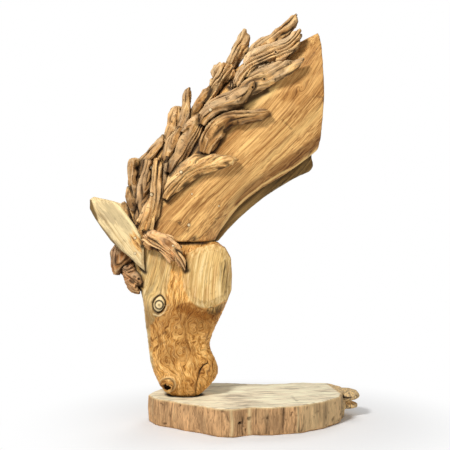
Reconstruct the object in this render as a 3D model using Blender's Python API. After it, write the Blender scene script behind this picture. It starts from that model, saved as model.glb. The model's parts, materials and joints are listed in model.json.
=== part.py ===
"""Driftwood horse head on a live-edge slab.

A grazing horse's head and arched neck, built from teak root: a carved head block, two half logs for the
neck, plank ears and a mane of driftwood strips, standing with its muzzle on a slice of trunk.
Run it with blender --background --python part.py. Metres, +Z up, -Y is the side that faces the viewer.
"""

import math

import bmesh
import bpy
from mathutils import Vector, noise

# Driving sizes, in metres
FIGURE_HEIGHT = 1.448
SLAB_LENGTH = 0.81
SLAB_DEPTH = 0.54
SLAB_THICKNESS = 0.102
SLAB_EDGE_ROUND = 0.005
FIT_GAP = 0.0004

# The figure is squared up from a front elevation, as a carver does. Columns run to the right and rows run
# down, one square is a share of the figure's height, and depths are in squares too, behind the sheet.
SQUARES_HIGH = 381.0
SQUARE = FIGURE_HEIGHT / SQUARES_HIGH
SLAB_TOP_ROW = 394.5
EYE_COLUMN, EYE_ROW = 225.0, 225.0
EYE_DISTANCE = 868.0
ORIGIN_COLUMN = 255.5

# The blocks of the figure, in squares: the joint between the half logs, and how far each stands out from it
# in the middle and, as a share of that, along its edges
NECK_JOINT_DEPTH = 4.0
NECK_NEAR_BULGE, NECK_NEAR_EDGE = 29.0, 0.34
NECK_FAR_BULGE, NECK_FAR_EDGE = 21.0, 0.42
NECK_TAPER = 0.1
NECK_SQUARENESS = 2.5
SEAM_ROW = 241.3

# How finely the forms are faceted
HEAD_STATIONS = 20
HEAD_SHARES = 11
NECK_SHARES = 9
ALMOND_POINTS = 12
GROOVE_POINTS = 7
LOCK_SIDES = 7
LOCK_RING_STEP = 11.0
LOCK_LEAST_RINGS = 4

# The mane's strips: least half width in squares, extra width that makes up for the facets, height of ridges
LOCK_LEAST_WIDTH = 0.5
LOCK_FACET_EXTRA = 1.11
LOCK_RIPPLE = 0.13
# How far a strip's width and, as a share of its thickness, its depth wander, and how thin its ends are
LOCK_WIDTH_WANDER = 0.1
LOCK_DEPTH_WANDER = 0.4
LOCK_END_THICKNESS = 0.4
# Points closer than this are made one, in metres, and how far a sharp corner may reach past a margin
WELD_DISTANCE = 0.00002
MITRE_LIMIT = 2.5

TEAK = ("teak_heartwood", (0.50, 0.26, 0.10, 1.0), 0.55)
SAPWOOD = ("teak_sapwood", (0.66, 0.48, 0.25, 1.0), 0.65)
DRIFTWOOD = ("weathered_root", (0.40, 0.25, 0.12, 1.0), 0.8)
SLAB_WOOD = ("slab_wood", (0.70, 0.55, 0.36, 1.0), 0.75)


def upright(column, row, depth=0.0):
    """The world place of a point of the elevation, set straight back by its depth."""
    across = column - ORIGIN_COLUMN
    up = SLAB_TOP_ROW - row
    return Vector((across * SQUARE, depth * SQUARE, SLAB_THICKNESS + FIT_GAP + up * SQUARE))


def sighted(column, row, depth):
    """The world place of a point that the elevation's eye sees at a column and row, at a depth."""
    spread = 1 + depth / EYE_DISTANCE
    seen_column = EYE_COLUMN + (column - EYE_COLUMN) * spread
    seen_row = EYE_ROW + (row - EYE_ROW) * spread
    return upright(seen_column, seen_row, depth)


def along(points, share):
    """A smooth curve through points of any size, read at a share of its length from 0 to 1."""
    last = len(points) - 1
    reach = min(max(share, 0.0), 1.0) * last
    i = min(int(reach), last - 1)
    t = reach - i
    p0 = points[max(i - 1, 0)]
    p1 = points[i]
    p2 = points[i + 1]
    p3 = points[min(i + 2, last)]
    return [
        0.5 * (2 * b + (c - a) * t + (2 * a - 5 * b + 4 * c - d) * t * t + (3 * b - a - 3 * c + d) * t**3)
        for a, b, c, d in zip(p0, p1, p2, p3)
    ]


def smooth_step(low, high, value):
    """0 below low, 1 above high, and an even slope between."""
    t = min(max((value - low) / (high - low), 0.0), 1.0)
    return t * t * (3 - 2 * t)


def oval(t, power, least):
    """The height of a superellipse over a width from 0 to 1, at least the share given at its ends."""
    return max(least, (1 - abs(2 * t - 1) ** power) ** (1 / power))


def wood(kind):
    """The material of a kind of wood, made once."""
    name, colour, roughness = kind
    material = bpy.data.materials.get(name)
    if material is None:
        material = bpy.data.materials.new(name)
        material.use_nodes = True
        shader = material.node_tree.nodes["Principled BSDF"]
        shader.inputs["Base Color"].default_value = colour
        shader.inputs["Roughness"].default_value = roughness
        shader.inputs["Metallic"].default_value = 0.0
    return material


def collection_named(name):
    collection = bpy.data.collections.new(name)
    bpy.context.scene.collection.children.link(collection)
    return collection


def solid(name, bm, kind, collection):
    """An object from a closed bmesh, its faces pointing out."""
    bmesh.ops.recalc_face_normals(bm, faces=bm.faces)
    mesh = bpy.data.meshes.new(name)
    bm.to_mesh(mesh)
    bm.free()
    mesh.materials.append(wood(kind))
    obj = bpy.data.objects.new(name, mesh)
    collection.objects.link(obj)
    return obj


def helper(obj):
    """Marks an object as a tool that isn't part of the figure."""
    obj.hide_render = True
    obj.display_type = "WIRE"
    return obj


def loft(rings):
    """A closed bmesh through rings of equally many points, with a face on each end."""
    bm = bmesh.new()
    rows = [[bm.verts.new(p) for p in ring] for ring in rings]
    count = len(rings[0])
    for low, high in zip(rows, rows[1:]):
        for k in range(count):
            n = (k + 1) % count
            bm.faces.new((low[k], low[n], high[n], high[k]))
    bm.faces.new(rows[0][::-1])
    bm.faces.new(rows[-1])
    bmesh.ops.triangulate(bm, faces=[f for f in bm.faces if len(f.verts) == 4])
    return bm


def block(stations, shares, near, far):
    """A closed bmesh between a near and a far face.

    Each station is (first edge point, second edge point, bow): a line across the block that bows along the
    block. near and far give a depth from the station's share and the share across.
    """
    bm = bmesh.new()
    last = len(stations) - 1
    cross = [(1 - math.cos(math.pi * j / shares)) / 2 for j in range(shares + 1)]
    sheets = []
    for depth_at in (near, far):
        sheet = []
        for i, (first, second, bow) in enumerate(stations):
            run = Vector((second[0] - first[0], second[1] - first[1]))
            out = Vector((-run.y, run.x)).normalized() * -bow
            line = []
            for t in cross:
                column = first[0] + run.x * t + out.x * 4 * t * (1 - t)
                row = first[1] + run.y * t + out.y * 4 * t * (1 - t)
                line.append(bm.verts.new(upright(column, row, depth_at(i / last, t))))
            sheet.append(line)
        sheets.append(sheet)
    front, back = sheets
    for sheet in sheets:
        for low, high in zip(sheet, sheet[1:]):
            for j in range(shares):
                bm.faces.new((low[j], low[j + 1], high[j + 1], high[j]))
    for i in range(last):
        for j in (0, shares):
            bm.faces.new((front[i][j], front[i + 1][j], back[i + 1][j], back[i][j]))
    for i in (0, last):
        for j in range(shares):
            bm.faces.new((front[i][j], front[i][j + 1], back[i][j + 1], back[i][j]))
    bmesh.ops.recalc_face_normals(bm, faces=bm.faces)
    return bm


def join_flats(bm, degrees=0.4):
    """Makes one face of faces that lie in one plane, then triangles of all."""
    bmesh.ops.dissolve_limit(bm, angle_limit=math.radians(degrees), verts=bm.verts, edges=bm.edges)
    bmesh.ops.triangulate(bm, faces=bm.faces)
    return bm


def combine(obj, other, operation):
    """Joins or cuts obj with another closed mesh object, for good, and leaves the other as it is."""
    modifier = obj.modifiers.new("combine", "BOOLEAN")
    modifier.operation = operation
    modifier.object = other
    modifier.solver = "EXACT"
    graph = bpy.context.evaluated_depsgraph_get()
    made = bpy.data.meshes.new_from_object(obj.evaluated_get(graph))
    obj.modifiers.remove(modifier)
    old = obj.data
    obj.data = made
    bpy.data.meshes.remove(old)


def islands(bm):
    """The connected groups of faces."""
    left = set(bm.faces)
    groups = []
    while left:
        group = set()
        reach = [left.pop()]
        while reach:
            face = reach.pop()
            group.add(face)
            for edge in face.edges:
                for other in edge.link_faces:
                    if other in left:
                        left.remove(other)
                        reach.append(other)
        groups.append(group)
    return groups


def reach_of(faces):
    """The room that a group of faces takes up, as the product of its box's sides."""
    points = [v.co for f in faces for v in f.verts]
    size = [max(p[k] for p in points) - min(p[k] for p in points) for k in range(3)]
    return size[0] * size[1] * size[2]


def keep_largest(obj):
    """Leaves the largest piece of wood after a cut and drops the offcuts."""
    bm = bmesh.new()
    bm.from_mesh(obj.data)
    bmesh.ops.remove_doubles(bm, verts=bm.verts, dist=WELD_DISTANCE)
    bmesh.ops.dissolve_degenerate(bm, edges=bm.edges, dist=WELD_DISTANCE)
    groups = sorted(islands(bm), key=reach_of)
    for group in groups[:-1]:
        bmesh.ops.delete(bm, geom=list(group), context="FACES")
    bmesh.ops.delete(bm, geom=[v for v in bm.verts if not v.link_faces], context="VERTS")
    bmesh.ops.triangulate(bm, faces=bm.faces)
    bm.to_mesh(obj.data)
    bm.free()


def grown(obj, margin, cutters):
    """A cutter that is obj with its surface moved out by a margin."""
    bm = bmesh.new()
    bm.from_mesh(obj.data)
    bm.normal_update()
    for vert, normal in [(v, v.normal.copy()) for v in bm.verts]:
        vert.co += normal * margin * min(vert.calc_shell_factor(), MITRE_LIMIT)
    mesh = bpy.data.meshes.new(obj.name + "_room")
    bm.to_mesh(mesh)
    bm.free()
    cutter = bpy.data.objects.new(obj.name + "_room", mesh)
    cutter.hide_render = True
    cutter.display_type = "WIRE"
    cutters.objects.link(cutter)
    return cutter


def corners(obj):
    points = [v.co for v in obj.data.vertices]
    low = [min(p[k] for p in points) for k in range(3)]
    high = [max(p[k] for p in points) for k in range(3)]
    return low, high


def meet(first, second):
    """Whether two objects' boxes overlap."""
    low_a, high_a = corners(first)
    low_b, high_b = corners(second)
    return all(low_a[k] < high_b[k] and low_b[k] < high_a[k] for k in range(3))


# The slab's outline seen from above, in shares of its length and depth, anticlockwise from the front
SLAB_OUTLINE = [
    (-0.36, -0.24), (-0.24, -0.38), (-0.13, -0.48), (-0.04, -0.42), (0.07, -0.41), (0.19, -0.35),
    (0.28, -0.25), (0.36, -0.12), (0.41, 0.04), (0.43, 0.20), (0.42, 0.35), (0.36, 0.46), (0.22, 0.47),
    (0.06, 0.41), (-0.10, 0.45), (-0.24, 0.47), (-0.36, 0.39), (-0.46, 0.22), (-0.50, 0.02), (-0.46, -0.12),
]
SLAB_RIDGES = 17
SLAB_POINTS = 3 * SLAB_RIDGES
SLAB_RIDGE_DEPTH = 0.004
# The broken branch at the slab's right end, an upper and a lower knob with a hollow between them. Each is a
# centre and half sizes, in shares of the slab's length, depth and thickness
SLAB_KNOBS = [((0.440, 0.225, 0.790), (0.072, 0.140, 0.200)), ((0.440, 0.205, 0.405), (0.063, 0.080, 0.135))]
SLAB_KNOB_ROUNDNESS = 0.85
SLAB_KNOB_STEPS = 10


def slab_ring(height, inset):
    """The slab's outline at a height, with bark ridges, drawn in by an inset."""
    closed = SLAB_OUTLINE + SLAB_OUTLINE[:1]
    ring = []
    for k in range(SLAB_POINTS):
        share = k / SLAB_POINTS
        x, y = along(closed, share)
        out = Vector((x * SLAB_LENGTH, y * SLAB_DEPTH))
        ridge = SLAB_RIDGE_DEPTH * math.sin(SLAB_RIDGES * 2 * math.pi * share)
        out += out.normalized() * (ridge - inset)
        ring.append(Vector((out.x, out.y, height)))
    return ring


def ball(name, centre, sizes, collection, steps=8, roundness=1.0):
    """An ellipsoid at a centre with three half sizes, more like a box the less its roundness is."""
    bm = bmesh.new()
    bmesh.ops.create_uvsphere(bm, u_segments=steps, v_segments=steps // 2 + 1, radius=1.0)
    for vert in bm.verts:
        spread = [math.copysign(abs(c) ** roundness, c) for c in vert.co]
        vert.co = Vector((spread[k] * sizes[k] for k in range(3))) + centre
    return helper(solid(name, bm, TEAK, collection))


def make_slab(parts, cutters):
    """The slice of trunk: flat top and underside, a wavy bark edge and a broken branch on its right end."""
    heights = [
        (0.0, SLAB_EDGE_ROUND), (SLAB_EDGE_ROUND, 0.0), (SLAB_THICKNESS / 2, -SLAB_EDGE_ROUND / 2),
        (SLAB_THICKNESS - SLAB_EDGE_ROUND, 0.0), (SLAB_THICKNESS, SLAB_EDGE_ROUND),
    ]
    slab = solid("slab", loft([slab_ring(z, inset) for z, inset in heights]), SLAB_WOOD, parts)
    whole = Vector((SLAB_LENGTH, SLAB_DEPTH, SLAB_THICKNESS))
    for k, (centre, sizes) in enumerate(SLAB_KNOBS):
        knob = ball(
            f"slab_knob_{k}", Vector(centre) * whole, Vector(sizes) * whole, cutters,
            SLAB_KNOB_STEPS, SLAB_KNOB_ROUNDNESS
        )
        combine(slab, knob, "UNION")
    keep_largest(slab)
    return slab


# The head in profile, top to muzzle: row, forehead column, jaw column, half width in squares, squareness
HEAD_ROWS = [
    (SEAM_ROW, 134.0, 217.0, 20.0, 3.0), (249.0, 133.0, 225.5, 21.5, 3.0), (264.0, 133.5, 231.0, 23.0, 3.0),
    (278.0, 136.5, 231.5, 24.5, 3.0), (290.0, 141.0, 231.0, 26.0, 2.9), (304.0, 144.2, 226.0, 26.0, 2.8),
    (318.0, 145.2, 219.5, 23.0, 2.6), (332.0, 147.0, 213.0, 19.0, 2.5), (344.0, 148.6, 209.3, 16.5, 2.5),
    (353.0, 149.5, 212.0, 15.8, 2.4), (364.0, 151.2, 217.5, 15.6, 2.3), (373.0, 154.5, 217.8, 16.2, 2.3),
    (381.0, 158.2, 213.2, 16.6, 2.3), (387.5, 162.0, 207.0, 16.0, 2.4), (392.0, 167.0, 202.5, 14.0, 2.4),
    (394.5, 172.5, 198.5, 11.5, 2.4),
]
HEAD_EDGE = 0.16
JAW_NARROWING = 0.28
# Where the jaw's hollow comes in and goes out, as rows, and where it comes in across the head
JAW_STARTS, JAW_ENDS = (296.0, 322.0), (344.0, 362.0)
JAW_SHARES = (0.45, 0.9)
EYE_AT = (158.9, 304.4)
EYE_SOCKET_HALF = (6.3, 9.8)
EYEBALL_HALF = (4.6, 6.6)
ALMOND_NARROWING = 0.28
# The swelling around the eye: its reach across and along the head, and its height
BROW_REACH = (11.0, 14.0)
BROW_HEIGHT = 1.6
# Depths from the head's surface, outwards below 0, and sizes of the outline
EYE_SOCKET_STEPS = [(-6.0, 1.0), (0.9, 0.92)]
EYEBALL_STEPS = [(4.0, 1.0), (0.2, 1.0), (-0.8, 0.72)]
NOSTRIL_AT = (167.7, 386.0)
NOSTRIL_HALF_SIZES = (5.4, 6.0, 3.4)
NOSTRIL_RIM_REACH = 9.0
NOSTRIL_RIM_HEIGHT = 1.8
MOUTH_WIDTH = 1.1
MUZZLE_TURN_ROW = 391.0
MOUTH_LINE = [(208.5, 363.5), (202.0, 366.0), (199.0, 372.0), (197.3, 382.0), (196.5, 396.0)]
CHEEK_OUTLINE = [
    (183.5, 262.0), (186.5, 253.5), (197.0, 247.5), (214.0, 243.5), (225.0, 248.0), (231.0, 259.0),
    (232.0, 275.0), (231.5, 290.0), (227.5, 300.0), (209.0, 309.0), (198.0, 307.5), (190.0, 300.5),
    (184.5, 290.0), (182.0, 276.0),
]
# The cheek boss, from root to face, with a wide bevel: depth and size of the outline
CHEEK_STEPS = [(-8.0, 1.0), (-24.5, 1.0), (-31.0, 0.77)]


def head_row(row):
    """The head's profile values at a row."""
    first, last = HEAD_ROWS[0][0], HEAD_ROWS[-1][0]
    share = min(max(row, first), last)
    for low, high in zip(HEAD_ROWS, HEAD_ROWS[1:]):
        if low[0] <= share <= high[0]:
            t = (share - low[0]) / (high[0] - low[0])
            return [a + (b - a) * t for a, b in zip(low, high)]
    return list(HEAD_ROWS[-1])


def head_depth(column, row):
    """How far the near side of the head stands out at a column and row, in squares."""
    _, forehead, jaw, half_width, squareness = head_row(row)
    t = min(max((column - forehead) / (jaw - forehead), 0.0), 1.0)
    depth = half_width * oval(t, squareness, HEAD_EDGE)
    below_cheek = smooth_step(*JAW_STARTS, row) * (1 - smooth_step(*JAW_ENDS, row))
    depth *= 1 - JAW_NARROWING * below_cheek * smooth_step(*JAW_SHARES, t)
    nostril = math.hypot(column - NOSTRIL_AT[0], row - NOSTRIL_AT[1]) / NOSTRIL_RIM_REACH
    brow = math.hypot((column - EYE_AT[0]) / BROW_REACH[0], (row - EYE_AT[1]) / BROW_REACH[1])
    depth += NOSTRIL_RIM_HEIGHT * max(0.0, 1 - nostril**2) + BROW_HEIGHT * max(0.0, 1 - brow**2)
    return depth


def facing(steps, outline, side):
    """Rings of an outline at depths and scales, on the near side for -1 or mirrored to the far side for 1."""
    centre = [sum(p[k] for p in outline) / len(outline) for k in (0, 1)]
    rings = []
    for depth, scale in steps:
        ring = []
        for column, row in outline:
            at = sighted(
                centre[0] + (column - centre[0]) * scale, centre[1] + (row - centre[1]) * scale, depth
            )
            ring.append(Vector((at.x, at.y * -side, at.z)))
        rings.append(ring)
    return rings


def almond(centre, half_sizes):
    """A pointed oval, upright, as (column, row) points."""
    outline = []
    for k in range(ALMOND_POINTS):
        a = 2 * math.pi * k / ALMOND_POINTS
        narrow = 1 - ALMOND_NARROWING * abs(math.sin(a)) ** 3
        column = centre[0] + half_sizes[0] * math.cos(a) * narrow
        outline.append((column, centre[1] + half_sizes[1] * math.sin(a)))
    return outline


def groove_tool(name, line, width, side, cutters):
    """A tube that follows a line on the head's surface."""
    curve = bpy.data.curves.new(name, "CURVE")
    curve.dimensions = "3D"
    curve.bevel_depth = width * SQUARE
    curve.bevel_resolution = 0
    curve.use_fill_caps = True
    spline = curve.splines.new("POLY")
    spline.points.add(GROOVE_POINTS - 1)
    for k in range(GROOVE_POINTS):
        column, row = along(line, k / (GROOVE_POINTS - 1))
        at = upright(column, row, -head_depth(column, min(row, MUZZLE_TURN_ROW)))
        spline.points[k].co = (at.x, at.y * -side, at.z, 1.0)
    obj = bpy.data.objects.new(name, curve)
    cutters.objects.link(obj)
    graph = bpy.context.evaluated_depsgraph_get()
    mesh = bpy.data.meshes.new_from_object(obj.evaluated_get(graph))
    bpy.data.objects.remove(obj)
    bm = bmesh.new()
    bm.from_mesh(mesh)
    bmesh.ops.remove_doubles(bm, verts=bm.verts, dist=WELD_DISTANCE)
    return helper(solid(name, bm, TEAK, cutters))


def make_head(parts, cutters):
    """The carved head block, with cheek bosses, eyes, nostrils and mouth on both sides."""
    stations = []
    for k in range(HEAD_STATIONS):
        row, forehead, jaw, _, _ = along(HEAD_ROWS, k / (HEAD_STATIONS - 1))
        stations.append(((forehead, row), (jaw, row), 0.0))

    def outer(share, t, side):
        first, second, _ = stations[round(share * (HEAD_STATIONS - 1))]
        return side * head_depth(first[0] + (second[0] - first[0]) * t, first[1])

    bm = block(
        stations, HEAD_SHARES, lambda share, t: outer(share, t, -1), lambda share, t: outer(share, t, 1)
    )
    head = solid("head", join_flats(bm), TEAK, parts)
    eye_depth = head_depth(*EYE_AT)
    nostril_depth = head_depth(*NOSTRIL_AT)
    for side in (-1, 1):
        tag = "near" if side < 0 else "far"
        boss = helper(solid(f"cheek_{tag}", loft(facing(CHEEK_STEPS, CHEEK_OUTLINE, side)), TEAK, cutters))
        combine(head, boss, "UNION")
        for name, half_sizes, steps, operation in (
            ("socket", EYE_SOCKET_HALF, EYE_SOCKET_STEPS, "DIFFERENCE"),
            ("eyeball", EYEBALL_HALF, EYEBALL_STEPS, "UNION"),
        ):
            placed = [(depth - eye_depth, size) for depth, size in steps]
            rings = facing(placed, almond(EYE_AT, half_sizes), side)
            tool = solid(f"{name}_{tag}", loft(rings), TEAK, cutters)
            combine(head, helper(tool), operation)
        at = upright(*NOSTRIL_AT, -nostril_depth)
        at.y *= -side
        sizes = [half * SQUARE for half in NOSTRIL_HALF_SIZES]
        combine(head, ball(f"nostril_{tag}", at, sizes, cutters), "DIFFERENCE")
        mouth = groove_tool(f"mouth_{tag}", MOUTH_LINE, MOUTH_WIDTH, side, cutters)
        combine(head, mouth, "DIFFERENCE")
    keep_largest(head)
    return head


# The neck's two half logs, from the seam on the head up to the sawn end: crest point, throat point, bow
NECK_NEAR = [
    ((133, SEAM_ROW), (214.5, SEAM_ROW), 0), ((138, 210), (220, 231), 0), ((146, 182), (229, 219), 0),
    ((157, 153), (239, 206.5), 0), ((175, 132), (250, 197), 0), ((194, 115), (261.5, 188), 0),
    ((212, 95), (274, 180.5), 0), ((230, 74.5), (286, 173.3), 0), ((250, 58), (297, 165.5), 0.5),
    ((274, 52), (306.5, 158.5), 1), ((290, 49), (312.5, 154), 2), ((299, 43.3), (315.5, 151.5), 3),
    ((318, 33.2), (317.5, 149.3), 4),
]
NECK_FAR = [
    ((136, SEAM_ROW), (218, SEAM_ROW), 0), ((141, 210), (227.5, 230), 0), ((151, 183), (239, 218.5), 0),
    ((166, 159), (252, 207), 0), ((183, 139), (265, 196.5), 0), ((201, 121), (278, 187.5), 0),
    ((220, 103), (289, 181), 0), ((239, 87), (298, 176.5), 0), ((258, 73), (304.5, 173.5), 0),
    ((277, 65), (309.5, 171.3), 0), ((290, 62), (312, 168.5), 0), ((300, 54), (313.5, 165.5), 0),
]


def make_neck(parts):
    """The two half logs, glued face to face along the joint."""

    gap = FIT_GAP / SQUARE

    def near(share, t):
        thick = NECK_NEAR_BULGE * (1 - NECK_TAPER * share)
        return NECK_JOINT_DEPTH - thick * oval(t, NECK_SQUARENESS, NECK_NEAR_EDGE)

    def far(share, t):
        thick = NECK_FAR_BULGE * (1 - NECK_TAPER * share)
        return NECK_JOINT_DEPTH + gap + thick * oval(t, NECK_SQUARENESS, NECK_FAR_EDGE)

    def joint(share, t):
        return NECK_JOINT_DEPTH

    def joint_far(share, t):
        return NECK_JOINT_DEPTH + gap

    blocks = []
    for name, stations, front, back in (
        ("neck_near_half", NECK_NEAR, near, joint), ("neck_far_half", NECK_FAR, joint_far, far)
    ):
        crest, throat, bow = stations[0]
        lifted = [((crest[0], crest[1] - gap), (throat[0], throat[1] - gap), bow)] + stations[1:]
        blocks.append(solid(name, join_flats(block(lifted, NECK_SHARES, front, back)), TEAK, parts))
    return blocks


EAR_OUTLINE = [
    (90.0, 199.5), (94.0, 196.8), (104.5, 199.1), (114.4, 202.2), (120.5, 206.5), (127.0, 214.7),
    (134.5, 224.5), (141.0, 236.0), (143.8, 249.0), (144.0, 260.3), (145.0, 271.0), (137.4, 265.0),
    (129.0, 256.5), (118.3, 248.1), (110.4, 240.4), (102.5, 229.5), (95.0, 218.0), (89.8, 208.5),
]
EAR_DEPTH = -20.0
EAR_SPLAY = 15.0
EAR_HALF = 4.2
# The plank from face to back: height over its middle, in half thicknesses, and size of the outline
EAR_STEPS = [(1.0, 0.9), (0.5, 1.0), (-0.4, 1.0), (-1.0, 0.88)]


def make_ear(name, side, parts):
    """A plank ear with bevelled edges, its tip leaning out."""
    root = Vector(EAR_OUTLINE[10])
    tip = Vector(EAR_OUTLINE[0])
    run = tip - root
    centre = sum((Vector(p) for p in EAR_OUTLINE), Vector((0, 0))) / len(EAR_OUTLINE)
    rings = []
    for lift, scale in EAR_STEPS:
        ring = []
        for p in EAR_OUTLINE:
            at = centre + (Vector(p) - centre) * scale
            out = EAR_SPLAY * (at - root).dot(run) / run.length_squared
            spot = sighted(at.x, at.y, EAR_DEPTH - out + lift * EAR_HALF)
            ring.append(Vector((spot.x, spot.y * -side, spot.z)))
        rings.append(ring)
    return solid(name, loft(rings), SAPWOOD, parts)


def lock_bm(stations, depths, thickness, seed, side=-1, base=0.0):
    """A driftwood strip as a closed bmesh, with uneven ridges that wind along it.

    Each station is (column, row, half width) from one end to the other. depths are those of both ends, told
    from the base.
    """
    run = sum((Vector(b[:2]) - Vector(a[:2])).length for a, b in zip(stations, stations[1:]))
    count = max(LOCK_LEAST_RINGS, round(run / LOCK_RING_STEP))
    widest = max(width for _, _, width in stations)
    rings = []
    for i in range(count + 1):
        share = i / count
        column, row, width = along(stations, share)
        ahead = Vector(along(stations, min(share + 0.02, 1))[:2])
        step = ahead - Vector(along(stations, max(share - 0.02, 0))[:2])
        across = Vector((-step.y, step.x)).normalized()
        width = max(width, LOCK_LEAST_WIDTH) * LOCK_FACET_EXTRA
        width *= 1 + LOCK_WIDTH_WANDER * noise.noise(Vector((seed * 7.3, share * 4.0, 5.0)))
        depth = base + depths[0] + (depths[1] - depths[0]) * share
        depth += noise.noise(Vector((seed * 1.7, share * 3.0, 9.0))) * thickness * LOCK_DEPTH_WANDER
        thick = thickness * (LOCK_END_THICKNESS + (1 - LOCK_END_THICKNESS) * min(width / widest, 1.0))
        turn = 0.35 * math.sin(seed * 2.0 + share * 3.0)
        ring = []
        for k in range(LOCK_SIDES):
            a = 2 * math.pi * k / LOCK_SIDES + turn
            bulge = 1 + LOCK_RIPPLE * math.sin(3 * a + seed * 1.9 + 2.2 * share)
            bulge += LOCK_RIPPLE * 0.6 * math.sin(5 * a + seed * 4.1 - 2.6 * share)
            sideways = across * math.cos(a) * width * bulge
            at = sighted(column + sideways.x, row + sideways.y, depth + math.sin(a) * thick * bulge)
            ring.append(Vector((at.x, at.y * -side, at.z)))
        rings.append(ring)
    return loft(rings)


# The mane's strips that show from the front, the frontmost first, because each later one is scribed to those
# before it: name, stations, depths of both ends behind the neck's joint and half thickness
NEAR_LOCKS = [
    ("lower_leaf", [
        (165, 199, 3), (172, 187, 7), (184, 174, 9.3), (198, 164, 9), (213, 162.5, 7.8), (228, 160.5, 5.8),
        (238.7, 158.9, 0.8)], (-31, -34), 6),
    ("long_curve", [
        (204, 153, 6), (209, 140.5, 9.3), (217, 128, 9), (228, 119.5, 7), (241, 117, 6), (256, 115, 5.8),
        (269.3, 112.4, 3)], (-28, -33), 6.5),
    ("gold_leaf", [
        (238, 96, 4), (249, 88, 8), (260, 80.5, 11.3), (271.5, 73.5, 9.8), (284, 69.5, 8.3), (295.5, 64.7, 5),
        (304.2, 57.8, 0.6)], (-26, -35), 4.5),
    ("bent_root", [
        (202, 124.5, 4), (205, 117, 6.5), (214.4, 108.5, 7.6), (226, 102, 8.3), (238, 98, 8.3), (247, 90, 5),
        (254.4, 81, 1.8)], (-25, -32), 7.5),
    ("grey_wedge", [
        (169, 173, 3), (175, 164, 6.5), (184, 151.5, 8.6), (191, 138, 9), (197, 125.5, 6.2),
        (200.5, 114.5, 2)], (-27, -22), 7.5),
    ("poll_strip", [
        (146, 230.5, 5), (146, 220.5, 9.3), (152, 210, 7.4), (155, 198, 6.6), (157.3, 184, 5.3),
        (158, 170, 5.6), (158, 158, 3.2)], (-29, -21), 7),
    ("thin_strip", [
        (163.5, 196, 2), (165, 181, 3.2), (166.5, 168, 3.8), (167.5, 156.5, 1.6)], (-24, -21), 6),
    ("cross_strip", [
        (165.5, 161, 4.5), (170.5, 149, 6), (175.5, 138, 5.6), (181, 128, 3)], (-19, -18), 7.5),
    ("gnarled_root", [
        (231, 88.5, 3.2), (242, 78, 5.8), (250.5, 64.5, 8.4), (264, 54.5, 9.6), (279, 51, 9.3),
        (291.5, 42, 6.5), (299.8, 29.8, 2.2)], (-19, -22), 8),
    ("grey_strip", [
        (140, 225, 3.5), (140.5, 214, 5.5), (143.3, 200, 7.2), (146, 186, 7.2), (148, 172, 5.8),
        (148, 159.5, 3.8)], (-18, -15), 8),
    ("knuckle", [
        (206, 103, 3.2), (214, 91, 4.5), (218.5, 81, 7.6), (223.3, 72, 10.3), (225.5, 63, 6)], (-15, -15), 8),
    ("straight_plank", [
        (190, 122, 4), (197.5, 108, 5.8), (206, 97.5, 6.2), (214, 88.2, 4.6)], (-13, -14), 5.5),
    ("spike", [
        (176, 139, 3.5), (182, 128, 4.8), (185.8, 117, 4.8), (186.8, 106, 4), (187.5, 96, 3.6),
        (188.6, 87.5, 1)], (-15, -12), 5.5),
    ("low_strip", [
        (139, 225, 3), (136.5, 216, 4.4), (133.7, 205, 5.4), (130.7, 195, 5.2), (129.3, 186.5, 2.6)],
     (-11, -9), 8),
    ("left_lump", [
        (138, 197, 4), (134, 185, 4.8), (133.2, 177, 5.8), (134.2, 168, 5.6), (136, 159.5, 5)], (-8, -8), 10),
    ("wedge", [
        (141, 176, 4.5), (143.5, 165, 5.5), (149.5, 158, 5.2), (156, 150.5, 5.2), (160.6, 143.5, 4),
        (163.8, 135.5, 0.8)], (-7, -6), 8),
    ("upright", [
        (166.5, 156, 5.5), (171.5, 142, 6.8), (174.6, 129, 7.3), (176.4, 117, 7), (177, 106.5, 3.8)],
     (-7, -6), 8),
    ("blade", [
        (224, 82, 4.5), (231.7, 64, 5.8), (238, 52, 7.2), (243, 40, 6.8), (244.3, 29.8, 1.6)], (-5, -4), 7),
    ("top_blade", [
        (250, 57, 5.5), (260.5, 48, 6.3), (272, 42, 6.2), (284, 32.5, 5.8), (293, 21.5, 4.4),
        (296.4, 12.8, 0.6)], (-7, -5), 7),
    ("small_chip", [
        (136, 227, 4), (130, 215, 4), (126, 208.5, 4.2), (122.8, 202.6, 2.4)], (-2, -2), 7),
]
# The strips on the far side, plainer
FAR_LOCKS = [
    ("far_poll_strip", [(148, 228, 7), (153, 206, 9), (160, 184, 7), (168, 162, 3)], (20, 16), 7),
    ("far_lower_leaf", [(170, 196, 4), (182, 178, 9), (200, 164, 9), (228, 156, 1.5)], (21, 22), 6),
    ("far_long_curve", [(204, 150, 4), (214, 132, 9), (232, 118, 7), (258, 108, 2.5)], (20, 21), 6),
    ("far_leaf", [(238, 100, 4), (254, 84, 9), (272, 76, 8), (294, 70, 1)], (18, 18), 5),
    ("far_bent_root", [(178, 150, 4), (192, 132, 8), (208, 118, 8), (230, 102, 3)], (15, 16), 7),
    ("far_wedge", [(150, 200, 4), (156, 182, 8), (166, 166, 8), (178, 150, 3)], (13, 13), 7),
    ("far_root", [(222, 104, 4), (236, 88, 9), (252, 72, 8), (276, 58, 2)], (11, 10), 7),
    ("far_low_strip", [(140, 222, 4), (137, 206, 6), (139, 190, 6), (144, 172, 3)], (8, 6), 7),
    ("far_plank", [(176, 142, 5), (190, 124, 7), (204, 108, 6), (220, 94, 3)], (7, 6), 6),
]
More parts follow.
